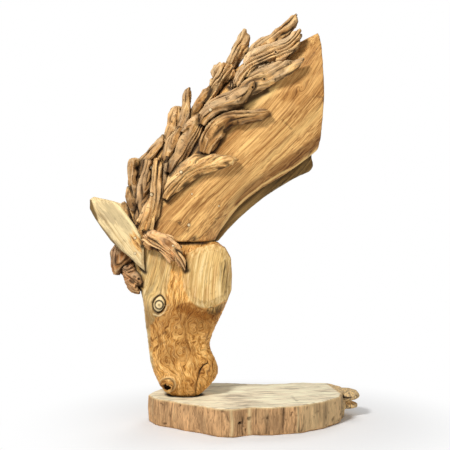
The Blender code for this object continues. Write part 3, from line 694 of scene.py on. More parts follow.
def weathered_teak_root(name, base, gold, seed):
    """Teak root, weathered for years in the ground and wire-brushed.

    The soft wood is gone, which leaves ribs along the grain with dark old wood between, deepened with painted
    shade, worn pale on top and with a painted highlight where they face the light. The real ribs' lines are
    about 1 mm apart, drawn here 5 mm apart so that they show.
    """
    tones = colours()
    material, tree = new_material(name, 1.45)
    (brown, height), (golden, _) = (
        grained(
            tree,
            (1, (18, 70, seed + shift + 5, 12, 45), deepened(tint, 0.28), tint, sunlit(tint, 1.75), 0.11),
            (0.55, (5, 90, seed + shift, 3, 40), deepened(tint, 0.2), tint, sunlit(tint, 1.9), 0.11),
        )
        for tint, shift in ((base, 0), (gold, 2))
    )
    wood = laid_over(
        tree, brown, ("gold", 1, golden), ("silver", 0.35, tones.grey_root),
        # the worn ridges, pale from wear and from a painted highlight
        ("deep", 1, DEEP_TINT, "MULTIPLY"), ("ridge", 1, BLEACHED_AND_LIT_TINT, "MULTIPLY"),
        ("ridge", 0.5, tones.bleached_and_lit),
    )
    wood = speckle(tree, wood, (4, 14, seed + 11, 3, 30), tones.root_dark_and_shade, 0.7)
    return finish(material, wood, height, 2.0, 0.68, 0.88)


def sawn_trunk_slice(name):
    """A slice of teak trunk: the top is chainsawn and sanded, the side is debarked and left rough.

    It gives a pale top with faint rings and ripples and a brown side with streaks that run up and down.
    """
    tones = colours()
    material, tree = new_material(name, 1.45)
    bark, face, grey = tones.slab_side, tones.slab_top, tones.grey_root
    side, height = grained(
        tree,
        (1, (34, 130, 7, 20, 70), shaded(bark, 0.6), bark, shaded(bark, 1.4), 0.14),
        (0.5, (4.5, 60, 3, 8, 40), deepened(bark, 0.36), bark, shaded(bark, 1.6), 0.13),
    )
    top, ring_height = grained(
        tree,
        (1, (160, 1000, 9, 40, 90, 50), shaded(face, 0.45), face, shaded(face, 1.2), 0.11, 3),
        (0.6, (120, 1000, 5, 26, 110, 11), shaded(face, 0.4), face, shaded(face, 1.25), 0.1, 6),
    )
    broken = (1, (7, 50, 2, 12, 40), shaded(grey, 0.25), shaded(grey, 1.1), shaded(tones.sapwood, 1.25), 0.12)
    wood = laid_over(
        tree, side, ("pale", 0.85, tones.ear), ("silver", 1, grained(tree, broken)[0]), ("sawn", 1, top),
        ("stain", 0.75, shaded(bark, 0.3)),
    )
    return finish(material, wood, laid_over(tree, height, ("sawn", 1, ring_height)), 1.0, 0.65, 0.85)


# Ends of pegs are fine-grained: their streaks for each metre
PLUG_GRAIN = 700.0


def plug_end_grain(name):
    """Plugs of pale wood, cut across the grain, glued over the screws and sanded flush."""
    material, tree = new_material(name)
    place = add(tree, "TexCoord").outputs["Object"]
    wide = add(tree, "VectorMath", {0: place, 1: (PLUG_GRAIN,) * 3}, operation="MULTIPLY")
    tone = colours().plug
    wood, height = streaks(tree, wide.outputs[0], shaded(tone, 0.6), tone, shaded(tone, 1.1), 0.2)
    return finish(material, wood, height, 0.1, 0.35, 0.5)


def white_paper(name):
    """Matt white paper, lit from below away from the slab, as a photographer's table is."""
    material, tree = new_material(name, 1.45, 0.9)
    shader = tree.nodes["Principled BSDF"]
    shader.inputs["Base Color"].default_value = opaque(linear("#f4f4f4"))
    place = add(tree, "TexCoord").outputs["Object"]
    reach = add(tree, "VectorMath", {0: place}, operation="LENGTH").outputs["Value"]
    glow = add(tree, "MapRange", {"Value": reach, "From Min": FLOOR_GLOW[0], "From Max": FLOOR_GLOW[1]})
    glow.interpolation_type = "SMOOTHSTEP"
    lit = add(tree, "Emission", {"Color": opaque(linear("#ffffff")), "Strength": 1.0})
    both = add(tree, "MixShader", {0: glow.outputs["Result"], 1: shader.outputs[0], 2: lit.outputs[0]})
    tree.links.new(both.outputs[0], tree.nodes["Material Output"].inputs["Surface"])
    return material


# The finish of each strip of the mane: how strong its relief is, and how golden, silvered and dark it is
MANE_FINISH = {
    "lower_leaf": (0.5, 1, -0.5, -0.35), "long_curve": (0.85, 0.5, -0.3, 0.45),
    "gold_leaf": (0.45, 0.4, 0.5, 0), "bent_root": (0.85, 0.55, 0.3, 0.3),
    "grey_wedge": (0.85, 0.4, 0.4, 0.45), "poll_strip": (1.1, 0.85, 0, -0.1),
    "thin_strip": (1, 0.2, 0.3, 0.5), "cross_strip": (1, 0.5, 0.2, 0.4),
    "gnarled_root": (1.25, 0.6, 0.8, -0.3), "grey_strip": (1, 0.1, 0.5, 0.45),
    "knuckle": (1.3, 0.7, 0.6, -0.3), "straight_plank": (0.6, 0.9, 0, 0.25), "spike": (1, 0.3, 0.3, 0.3),
    "low_strip": (1, 0.4, 0.2, 0.35), "left_lump": (1.3, 0.2, 0.5, 0.3), "wedge": (1, 0.5, 0.3, 0.35),
    "upright": (1, 0.7, 0.2, 0.1), "blade": (0.9, 0.7, 0.6, -0.2), "top_blade": (1.1, 0.7, 0.4, 0.05),
    "small_chip": (1, 0.2, 0.4, 0.3), "far_poll_strip": (1, 0.5, 0.3, 0.1),
    "far_lower_leaf": (0.6, 0.9, 0.1, 0), "far_long_curve": (1, 0.3, 0.2, 0.35),
    "far_leaf": (0.7, 0.8, 0.1, 0.1), "far_bent_root": (1, 0.5, 0.3, 0.25), "far_wedge": (1, 0.3, 0.5, 0.3),
    "far_root": (1.2, 0.5, 0.4, 0), "far_low_strip": (1, 0.3, 0.3, 0.3), "far_plank": (0.7, 0.7, 0.2, 0.1),
}
# Knots on the roots: column, row and reach in squares
ROOT_KNOTS = {
    "gold_leaf": [(264, 79, 1.9)], "bent_root": [(252, 87, 2)], "gnarled_root": [(275.5, 52, 1.7)],
    "forelock_lower": [(139, 279, 2.6)],
}
# The size of the faces of the near and the far roots
NEAR_VOXEL = 0.0026
FAR_VOXEL = 0.0034
# How far the roots grow past their solids, and the most that their grain twists, in radians a metre
ROOT_GROW = 0.001
ROOT_TWIST = 2.2
# The ribs of the roots: how far apart they are, and how far a slow noise pushes them aside, in ribs
RIB_SPACING = 0.0215
RIB_WANDER = 1.5
# Where the light and the weather come from: the worn tops facing it get a painted highlight, and the
# undersides turned away get painted shade
LIGHT_AND_WEATHER = np.array((-0.5, -0.25, 0.83))


def knot(shape, column, row, reach, height):
    """Raises a knot at a place of the elevation, with a dark ring and a pit darkened as painted shade, and
    bends the grain round it.
    """
    at = np.argmin(shape.near(column, row, reach) - shape.front())
    size = reach * SQUARE
    gap = np.linalg.norm(shape.points - shape.points[at], axis=1) / size
    shape.grain[:, 0] -= (shape.grain[:, 0] - shape.grain[at, 0]) / (gap**2 + KNOT_SOFTNESS**2)
    shape.height += height * np.exp(-((gap / 1.3) ** 2)) - 2.2 * height * np.exp(-((gap / 0.42) ** 2))
    shape.darken(0.4 * crease(gap - 1.25, 0.4) * shape.front())
    # painted shade in the pit
    shape.darken(rise(0.75, 0.35, gap))


def root_relief(strength, gold, silver, deep, seed, knots):
    """The relief of a root strip: ribs that wind along it, dark old wood and painted shade between them, and
    ragged ends.
    """

    def relief(shape):
        size = sizes()
        for column, row, reach in knots:
            knot(shape, column, row, reach, size.strip_gnarl)
        field = (shape.grain[:, 0] + 0.4 * shape.grain[:, 1]) / RIB_SPACING
        field += RIB_WANDER * grainy(shape, 0.05, 0.18, seed) + 0.45 * grainy(shape, 0.02, 0.07, seed + 1)
        ribs = ridged(field)
        fine = ridged(field * 2.3 + 0.9 * grainy(shape, 0.03, 0.1, seed + 2))
        gnarl = even(shape, 0.06, seed + 3) + 0.35 * even(shape, 0.02, seed + 4)
        valleys = rise(0.48, 0.05, ribs) * rise(-0.25, 0.15, grainy(shape, 0.03, 0.08, seed + 5))
        clefts = rise(0.28, 0.05, fine) * rise(0, 0.3, grainy(shape, 0.03, 0.06, seed + 6))
        relief_height = (ribs - 0.6) * size.strip_flute + (fine - 0.5) * size.strip_flute * 0.25
        relief_height += gnarl * size.strip_gnarl - size.strip_groove * (0.6 * valleys**2 + 0.4 * clefts)
        along = shape.grain[:, 2]
        reach = np.abs(along) / np.abs(along).max()
        ends = rise(0.8, 1, reach) * np.abs(grainy(shape, 0.011, 0.2, seed + 9)) * size.frayed_end
        shape.height += strength * relief_height - ends
        # the dark between the ribs is old wood, deepened as painted shade
        shape.darken(np.clip(valleys + 0.5 * clefts, 0, 1) * min(0.5 + 0.5 * strength, 1))
        # painted shade on the faces turned away from the light
        facing = shape.normals @ LIGHT_AND_WEATHER
        under = rise(0, -0.85, facing) * rise(-0.5, 0.3, even(shape, 0.03, seed + 7))
        shape.darken(0.85 * under)
        # the worn crests of the ribs, and a painted highlight on the faces turned to the light
        worn_and_lit = most(rise(0.72, 1, ribs) * 0.5, rise(0.35, 0.95, facing) * 0.6)
        worn_and_lit *= 1 - 0.6 * rise(0.75, 1, reach)
        shape.masks["ridge"] = worn_and_lit * (1 - 0.5 * gold) * (1 - shape.hollow)
        slow = even(shape, 0.07, seed + 10)
        shape.masks["gold"] = np.clip(gold + slow * 0.9, 0, 1)
        shape.masks["silver"] = np.clip(silver - slow * 0.8 + 0.4 * even(shape, 0.03, seed + 11), 0, 1)
        shape.masks["deep"] = np.clip(deep + 0.7 * even(shape, 0.045, seed + 12), 0, 1)
        shape.grain[:, 0] = field * RIB_SPACING
        shape.grain[:, 1] *= 0.3

    return relief


def root_piece(node, name, material, finish_values, seed, voxel):
    """Carves one root strip."""
    relief = root_relief(*finish_values, seed, ROOT_KNOTS.get(node, ()))
    grain_of = straight_grain(twist=ROOT_TWIST * math.sin(seed))
    carved(node, name, material, voxel, relief, grain_of, grow=ROOT_GROW)


def mane(side, voxel):
    """Carves the mane's strips of the near or the far side. Both sides share one material."""
    name, tones = "weathered_teak_root", colours()
    material = bpy.data.materials.get(name)
    material = material or weathered_teak_root(name, tones.brown_root, tones.golden_root, 1)
    for number, (node, values) in enumerate(MANE_FINISH.items()):
        if node.startswith("far_") == (side == "far"):
            root_piece(node, "mane_" + node, material, values, number * 17 + 5, voxel)


class HORSEHEAD_OT_near_mane(Operator):
    """Carves the mane's strips of the near side"""

    bl_idname = "horsehead.near_mane"
    bl_label = "Near mane"

    def execute(self, context):
        mane("near", NEAR_VOXEL)
        return {"FINISHED"}


class HORSEHEAD_OT_far_mane(Operator):
    """Carves the mane's strips of the far side"""

    bl_idname = "horsehead.far_mane"
    bl_label = "Far mane"

    def execute(self, context):
        mane("far", FAR_VOXEL)
        return {"FINISHED"}


# How strong the relief of the forelock and the brow strips is, and how golden, silvered and dark they are
FORELOCK_FINISH = {
    "forelock_upper": (0.45, 0.2, -0.1, 0.5), "forelock_lower": (0.7, 0.5, 0, 0),
    "brow_strip_near": (1.25, 0.9, -0.2, -0.2), "brow_strip_far": (1.25, 0.9, -0.2, -0.2),
}


class HORSEHEAD_OT_forelock(Operator):
    """Carves the forelock's two roots and the strip over each brow"""

    bl_idname = "horsehead.forelock"
    bl_label = "Forelock and brows"

    def execute(self, context):
        tones = colours()
        material = weathered_teak_root("reddish_teak_root", tones.pink_root, tones.brow_root, 6)
        for number, (node, values) in enumerate(FORELOCK_FINISH.items()):
            root_piece(node, node + "_root", material, values, number * 17 + 401, NEAR_VOXEL)
        return {"FINISHED"}


# The neck's marks: the pale edge of sapwood under the leaf, the redder wood by the sawn end, a darker cloud
# in it, a lens of darker wood above the cheek, a pale band along the throat, the shade beside it and the
# bright rim beyond, the shadow under the gold leaf, and checks and knots
NECK_PALE_EDGE = [
    (226, 126), (238, 112), (250, 101), (262, 94), (272, 87), (280, 84), (272, 96), (258, 106), (244, 116),
    (232, 127),
]
NECK_RED_END = [
    (279, 84), (290, 70), (302, 56), (318, 38), (330, 40), (330, 108), (314, 98), (303, 108), (292, 101),
    (281, 98),
]
NECK_DARK_CLOUD = [(276, 97), (288, 86), (298, 88), (306, 96), (300, 106), (290, 103), (282, 106)]
NECK_LENS = [
    (153, 233), (158, 225.5), (168, 220.5), (178, 222), (186, 231), (178, 237), (166, 237), (158, 238),
]
THROAT_BAND = [(330, 103), (306, 122), (286, 138), (268, 158), (252, 178), (238, 200), (226, 226)]
THROAT_SHADE = [(318, 140), (302, 154), (284, 168), (264, 182), (250, 192), (240, 203)]
THROAT_RIM = [
    (316, 150.5), (311, 154.5), (297, 165.5), (281.5, 173), (262.5, 185), (245.5, 198.5), (231, 213),
    (218, 237),
]
LEAF_SHADOW = [(245, 103), (252, 98.5), (260, 94.5), (267, 91)]
NECK_CHECKS = [
    [(282, 120), (287, 124.5), (291.5, 129)], [(313, 96.5), (319, 96.8), (326, 98.5)],
    [(324, 99), (320, 106), (317, 111)], [(215, 219), (221, 217), (227, 214.5)],
    [(188, 232), (190, 224), (188.5, 219)],
]
NECK_KNOTS = [(179.5, 223, 2.6), (276.5, 151.5, 2), (219, 206, 1.6), (192, 194, 1.6), (300, 88, 4)]


def neck_relief(shape):
    """The near half log's relief and marks: waves from the tools, low ribs along the grain, and cracks."""
    size = sizes()
    front = shape.front()
    for column, row, reach in NECK_KNOTS:
        shape.flow_around(column, row, reach)
    waves = grainy(shape, 0.06, 0.22, 41) * size.tool_wave * 1.8
    ribs = grainy(shape, 0.014, 0.3, 42) * size.tool_wave * 0.7
    cracks = crease(grainy(shape, 0.045, 0.5, 43), 0.035) * rise(0.2, 0.35, grainy(shape, 0.06, 0.16, 44))
    for check in NECK_CHECKS:
        cracks = most(cracks, shape.stroke(check, 0.9, 0.1, 0.5 * even(shape, 0.012, 49)) * front * 0.6)
    lens_edge = crease(shape.within(NECK_LENS), 0.9) * front
    shape.height = waves + ribs - cracks * size.tool_wave * 1.3 - lens_edge * size.tool_wave * 0.6
    # painted shade in the cracks and along the lens's edge
    shape.hollow = np.clip(cracks * 0.85 + lens_edge * 0.4, 0, 1)
    column, row, reach = NECK_KNOTS[0]
    shape.darken(rise(1, 0.5, shape.near(column, row, reach * 0.8)) * front * 0.7)
    pale = shape.patch(NECK_PALE_EDGE, -1.5, 1.5, 1.5 * grainy(shape, 0.012, 0.1, 52))
    band = shape.stroke(THROAT_BAND, 9, 2) * (0.35 + 0.9 * grainy(shape, 0.02, 0.5, 47))
    rim = shape.stroke(THROAT_RIM, 1.7, 0.6, 0.4 * even(shape, 0.02, 51))
    shape.masks["pale"] = most(pale * front, band * front, rim)
    streaky = rise(0.1, 0.6, grainy(shape, 0.04, 0.3, 46)) * 0.5
    red = shape.patch(NECK_RED_END, -3, 5) * (0.45 + 0.35 * grainy(shape, 0.03, 0.12, 53))
    cloud = shape.patch(NECK_DARK_CLOUD, -3, 4, 5 * even(shape, 0.03, 48)) * 0.8
    lens = shape.patch(NECK_LENS, -0.5, 1) * 0.45
    shade = shape.stroke(THROAT_SHADE, 8, 2, 3 * grainy(shape, 0.02, 0.2, 50)) * (1 - rim)
    under_leaf = shape.stroke(LEAF_SHADOW, 4.5, 1) * 0.85
    shape.darken(most(0.3 * shade, under_leaf) * front)
    # the stain mask carries the painted shade beside the throat too
    shape.masks["stain"] = most(streaky, red * front, cloud * front, lens * front, shade * front)


def board_relief(shape):
    """The far half log's relief: tool waves, low ribs and cracks. It is paler towards its left end."""
    cracks = crease(grainy(shape, 0.04, 0.5, 143), 0.05) * rise(0.1, 0.3, grainy(shape, 0.06, 0.16, 144))
    waves = 1.6 * grainy(shape, 0.05, 0.2, 141) + grainy(shape, 0.012, 0.3, 142)
    shape.height = (waves - cracks) * sizes().tool_wave
    # painted shade in the cracks
    shape.hollow = cracks * 0.8
    pale = rise(0.25, 0.6, grainy(shape, 0.03, 0.4, 145)) * 0.4
    shape.masks["pale"] = most(pale, rise(266, 240, shape.column) * 0.3)
    shape.masks["stain"] = rise(-0.1, 0.5, grainy(shape, 0.03, 0.25, 146)) * 0.7


# The size of the faces of the neck
NECK_VOXEL = 0.0042


class HORSEHEAD_OT_neck(Operator):
    """Carves the neck's two half logs"""

    bl_idname = "horsehead.neck"
    bl_label = "Neck"

    def execute(self, context):
        tones, board = colours(), colours().board
        near = oiled_teak_heartwood("oiled_teak_neck", tones.teak, tones.teak_dark, tones.teak_light, 2)
        # the far log's colour is greyed wood, darkened too as painted shade in the near log's shadow
        far = oiled_teak_heartwood("greyed_shaded_teak_board", board, shaded(board, 0.4), shaded(board, 1.6), 6)
        # how dark the dust and the painted contact shade are on each log
        logs = ("near", near, neck_relief, 0.93), ("far", far, board_relief, 0.45)
        for side, material, relief, dust_and_shade_darkness in logs:
            carved(
                f"neck_{side}_half", f"neck_{side}_log", material, NECK_VOXEL, relief,
                straight_grain(), 10, dust_and_shade_darkness=dust_and_shade_darkness,
            )
        return {"FINISHED"}


# The head's marks, as places of the elevation, the same on both sides
EYE_AT = (158.9, 304.1)
EYE_HALF = (6.3, 9)
EYE_LEAN = 9
IRIS_AT = (159.1, 304.9)
IRIS_REACH = 4.1
BROW_LINE = [(160.2, 295), (160.8, 291.5), (160.2, 288)]
NOSTRIL_AT = (167.8, 384.6)
NOSTRIL_HALF = (7.2, 6.8)
NOSTRIL_HOLE = (166.5, 386.9)
NOSTRIL_HOLE_HALF = (3.1, 6.8)
NOSTRIL_HOLE_LEAN = 86
MOUTH_LINE = [
    (208, 362.8), (204.2, 365), (201.2, 368.5), (199.6, 372), (198.4, 377), (197.2, 382), (196.4, 387),
    (195.8, 392), (195.6, 396),
]
MOUTH_HALF_WIDTH = 0.75
LIP_CREASE = [(200.2, 384), (200.8, 388), (201.2, 396)]
# How far apart the curls of the burl's figure are
FIGURE_SPACING = 0.014
# The cheek's and the forehead's sapwood, the grey bevel under the cheek, the silver by its rim, and the flute
# below with its edge, whose dark is painted shade
CHEEK = [
    (183.5, 262), (186.5, 253.5), (197, 247.5), (214, 243.5), (225, 247), (231, 258), (233, 275),
    (232, 290), (228, 300), (209, 309), (198, 307.5), (190, 300.5), (184.5, 290), (182, 276),
]
FOREHEAD_SAPWOOD = [
    (128, 240), (143, 246), (156, 250), (170, 258), (172.5, 268), (169, 280), (167, 292), (166, 302),
    (161, 315), (155, 320.5), (150.5, 325), (149.8, 338), (151.6, 352), (154.5, 368), (147, 368),
    (140, 330), (128, 280),
]
GREY_BEVEL = [
    (206, 308.5), (217, 305.5), (226, 300), (231.5, 291), (231, 300), (224, 309), (216, 315), (208, 313.5),
]
CHEEK_SILVER = [(221, 262), (225.5, 260), (228, 275), (227, 292), (222.5, 298), (221, 280)]
SHADOWED_FLUTE = [
    (176, 306), (186, 303), (198, 309), (212, 312), (224, 306), (219, 318), (206, 322), (190, 317),
    (180, 313),
]
FLUTE_EDGE = [(174, 309.5), (181, 305), (189, 303.5), (196, 307), (206, 311), (216, 313), (224, 308)]
# Gouges in the forehead, folds over the upper lip, and the places that the grain flows around
HEAD_GOUGES = [
    [(152, 341), (159, 336.5), (168, 331.5)], [(154, 350), (161, 344), (167, 341)],
    [(150, 346), (157, 349.5)], [(181.5, 346.5), (185, 349.5), (187, 347.5)], [(190, 349.5), (193, 347)],
]
LIP_FOLDS = [
    [(174, 386.5), (181, 384), (190, 385.5), (195, 388)],
    [(173, 390), (182, 388), (192, 389.5), (195, 391)],
]
HEAD_KNOTS = [
    (*EYE_AT, 9), (197, 326, 11), (178, 332, 6), (206, 345, 6), (182, 352, 5),
    (168, 362, 4), (*NOSTRIL_AT, 7),
]


def head_relief(shape):
    """The head's relief and marks: the eye's rings, the nostrils, the mouth, the sapwood and the figure."""
    size = sizes()
    side = shape.either_side()
    for column, row, reach in HEAD_KNOTS:
        shape.flow_around(column, row, reach)
    rough = 0.045 * even(shape, 0.009, 67)
    eye = shape.drop(*EYE_AT, *EYE_HALF, EYE_LEAN) + rough
    iris = shape.near(*IRIS_AT, IRIS_REACH, IRIS_REACH * 1.04) + rough
    low_face = rise(292, 315, shape.row) * shape.patch(CHEEK, -1, -5)
    shape.grain[:, 0] += low_face * (0.024 * grainy(shape, 0.045, 0.075, 61) + 0.009 * even(shape, 0.017, 62))
    shape.grain[:, 1] *= 0.3
    curls = ridged(shape.grain[:, 0] / FIGURE_SPACING + 0.4 * even(shape, 0.016, 68))
    shape.height = (curls - 0.5) * size.figure_height * (0.3 + low_face) * rise(1, 1.3, eye)

    # a groove parts the lids from the face, and a ring parts the ball's dome from its white
    below = rise(0, 7, shape.row - EYE_AT[1])
    lid = crease(eye - 1.28, 0.26) * 0.6 - crease(eye - 1, 0.2) * (1 + 0.5 * below)
    ball = rise(1, 0.2, iris) * 0.9 - crease(iris - 1, 0.26) * 0.8 + crease(eye - 0.75, 0.3) * 0.3
    shape.height += (lid + ball * rise(1, 0.9, eye)) * size.eye_ring * side
    # the dark lines of the lids and the ring are painted shade in their grooves; the lower lid's line is
    # thicker, a painted shadow under the ball
    dark = most(
        rise(0.18 + 0.12 * below, 0.04, np.abs(eye - 1 + 0.08 * below)),
        rise(0.32, 0.08, np.abs(iris - 1)) * 0.95,
        rise(0.55, 0.1, iris) * 0.6,
        shape.stroke(BROW_LINE, 0.7, 0.1) * 0.6,
    )

    # the nostril's raised rim and its hole, with a dark line inside the rim's upper right
    rim = shape.near(*NOSTRIL_AT, *NOSTRIL_HALF)
    hole = shape.drop(*NOSTRIL_HOLE, *NOSTRIL_HOLE_HALF, NOSTRIL_HOLE_LEAN, POINTED)
    shape.height += crease(rim - 1, 0.34) * size.eye_ring * 1.2 * side
    shape.height -= rise(1.1, 0.4, hole) * size.nostril_depth * side
    upper_right = rise(-3, 3, shape.column - NOSTRIL_AT[0] - 0.7 * (shape.row - NOSTRIL_AT[1]))
    # the hole's dark is painted shade
    dark = most(dark, rise(1.06, 0.8, hole), crease(rim - 0.88, 0.2) * 0.95 * upper_right)

    # the mouth, the gouges of the forehead, and the painted shade that lies in all of these
    mouth = shape.line(MOUTH_LINE)
    fading = 1 - 0.4 * rise(368, 380, shape.row)
    shape.height -= rise(MOUTH_HALF_WIDTH * 2, 0.2, mouth) * size.mouth_depth * fading * side
    shape.height += crease(mouth - 3.2, 2) * size.figure_height * side
    lip_dark = shape.stroke(LIP_CREASE, 1.1, 0.2) * 0.5
    dark = most(dark, rise(MOUTH_HALF_WIDTH * 1.5, 0.3, mouth) * fading, lip_dark)
    uneven = 1.3 * even(shape, 0.011, 69)
    gouges = most(*(shape.stroke(gouge, 1.5, 0, uneven) for gouge in HEAD_GOUGES))
    shape.height -= gouges * size.figure_height * 1.6 * side
    shape.hollow = np.clip(most(dark * 0.93, gouges * 0.3) * side, 0, 1)

    # the sapwood, silvered in places, and the cream of the eye's white and the rims; the nostril's pale rim
    # is partly a painted highlight
    edge = 0.8 * even(shape, 0.02, 63) + 0.8 * grainy(shape, 0.012, 0.06, 64)
    pale = most(
        shape.patch(CHEEK, -1, 1), shape.patch(FOREHEAD_SAPWOOD, -0.6, 1.4, edge * 2),
        shape.patch(GREY_BEVEL, -1, 1, edge),
    )
    eye_pale = most(rise(1, 0.9, eye), crease(rim - 1.02, 0.12) * 0.8) * 0.95
    below_right = rise(0, 4, shape.row - EYE_AT[1] - 4 + 0.6 * (shape.column - EYE_AT[0]))
    cream = most(rise(0.9, 0.75, eye) * 0.85, crease(eye - 1.28, 0.18) * below_right * 0.7)
    shape.masks["cream"] = most(cream, crease(rim - 1.12, 0.12) * 0.3) * side
    shape.masks["pale"] = most(pale * most(side, rise(160, 150, shape.column)), eye_pale)
    silver = shape.patch(CHEEK_SILVER, -1.5, 1.5, 2 * grainy(shape, 0.012, 0.06, 65))
    brow = rise(178, 172, shape.column) * (0.35 + 0.4 * grainy(shape, 0.014, 0.05, 70)) * rise(0.9, 1.1, eye)
    shape.masks["silver"] = most(silver, shape.patch(GREY_BEVEL, -1, 1) * 0.8, brow)

    # the painted shade of the flute under the cheek, and the darker wood of the lip, the folds and the figure
    flute = most(
        shape.patch(SHADOWED_FLUTE, -4, 3, 3 * grainy(shape, 0.012, 0.05, 66)),
        shape.stroke(FLUTE_EDGE, 3.2, 0.4) * 0.85,
        rise(296, 312, shape.row) * rise(345, 318, shape.row) * low_face * 0.65,
    )
    lip = rise(204, 212, shape.column) * rise(350, 358, shape.row)
    lip *= 0.3 + 0.5 * grainy(shape, 0.012, 0.09, 76)
    lip = most(lip, *(shape.stroke(fold, 1.3, 0.2) * 0.5 for fold in LIP_FOLDS))
    lines = rise(0.5, 0, curls) * rise(-0.35, 0.25, even(shape, 0.03, 77)) * 0.65
    patches = rise(-0.1, 0.5, grainy(shape, 0.035, 0.06, 78)) * 0.55
    figure = most(lines, patches) * low_face * rise(1, 1.2, eye)
    cheek_left = rise(206, 186, shape.column) * shape.patch(CHEEK, 0, 3) * 0.15
    # the stain mask carries the painted shade of the flute too
    shape.masks["stain"] = most(flute, lip, figure, cheek_left) * side


# The size of the faces of the head, and where they are cut finer, once and again: around the eyes, the
# nostrils and the mouth
HEAD_VOXEL = 0.0039
HEAD_FINE_PLACES = [
    [(*EYE_AT, 14), (*NOSTRIL_AT, 11), (201, 374, 13)], [(*EYE_AT, 11.5), (*NOSTRIL_AT, 9)],
]


class HORSEHEAD_OT_head(Operator):
    """Carves the head block, with its eyes, nostrils, mouth and figure"""

    bl_idname = "horsehead.head"
    bl_label = "Head"

    def execute(self, context):
        material = figured_teak_burl("figured_teak_burl")
        carved(
            "head", "head_block", material, HEAD_VOXEL, head_relief, straight_grain(2, 2),
            4, places=HEAD_FINE_PLACES,
        )
        return {"FINISHED"}


# The ear's marks: its grey sawn end, its bright rim, a tan shade, the heartwood by its root and its grey edge
EAR_END = [(86, 199), (91.5, 200), (93.5, 207), (96.5, 214), (98.5, 221), (94, 219), (86, 208)]
EAR_RIM = [(112, 200), (119, 206.5), (125, 214), (131, 222.5), (137, 231), (142.5, 241), (143.5, 250)]
EAR_TAN = [(101, 203), (112, 204), (122, 213), (131, 225), (134, 234), (126, 232), (116, 221), (106, 213)]
EAR_HEARTWOOD = (136.5, 243, 5.5, 13, -30)
EAR_EDGE = [(90, 202), (92, 212), (98, 223), (105.5, 232.5), (113.5, 242.5), (122, 252), (133, 263)]


def ear_relief(shape):
    """The ear's relief and marks: low tool marks, checks, a greyed edge, and heartwood by its root."""
    checks = crease(grainy(shape, 0.02, 0.2, 72), 0.06) * rise(0.1, 0.3, even(shape, 0.06, 73))
    shape.height = (grainy(shape, 0.03, 0.09, 71) - 0.6 * checks) * sizes().tool_wave
    # painted shade in the checks
    shape.hollow = checks * 0.5
    edge = shape.stroke(EAR_EDGE, 1.6, 0.5) * 0.8
    shape.masks["silver"] = most(edge, shape.patch(EAR_END, -0.8, 0.6))
    shape.masks["pale"] = shape.stroke(EAR_RIM, 2, 0.8)
    shape.masks["gold"] = shape.patch(EAR_TAN, -3, 3, 3 * even(shape, 0.03, 79)) * 0.7
    heartwood = 1 - shape.near(*EAR_HEARTWOOD) + 0.7 * grainy(shape, 0.01, 0.05, 75)
    shape.masks["stain"] = rise(-0.1, 0.4, heartwood) * shape.stroke(EAR_RIM, 0.5, 1.5)


class HORSEHEAD_OT_ears(Operator):
    """Carves both plank ears"""

    bl_idname = "horsehead.ears"
    bl_label = "Ears"

    def execute(self, context):
        material = sapwood_plank("riven_sapwood_plank")
        for node in ("ear_near", "ear_far"):
            grain_of = straight_grain(bends=1)
            carved(node, node + "_plank", material, NEAR_VOXEL, ear_relief, grain_of, 2)
        return {"FINISHED"}


# The slab's marks along its front: pale ribs and checks by column and width, the columns of a darker stretch
# and the one where the branch begins, then a small hole, the broken branch's hollow and a scar on the top
SLAB_RIBS = [(231.5, 1.8), (249.5, 2.2), (298, 1.2)]
SLAB_CHECKS = [(227.5, 0.9), (243, 1), (283.5, 1), (295.5, 0.8), (256, 0.7), (270, 0.6)]
SLAB_DARK = (252, 286)
BRANCH_COLUMN = 341.5
SLAB_HOLE = (240, 423)
STUB_HOLLOW = [(345, 400), (349, 399), (355, 400), (356, 403), (351, 405), (346, 404)]
TOP_SCAR = [(291.5, 395.5), (294, 398), (297, 400.5)]


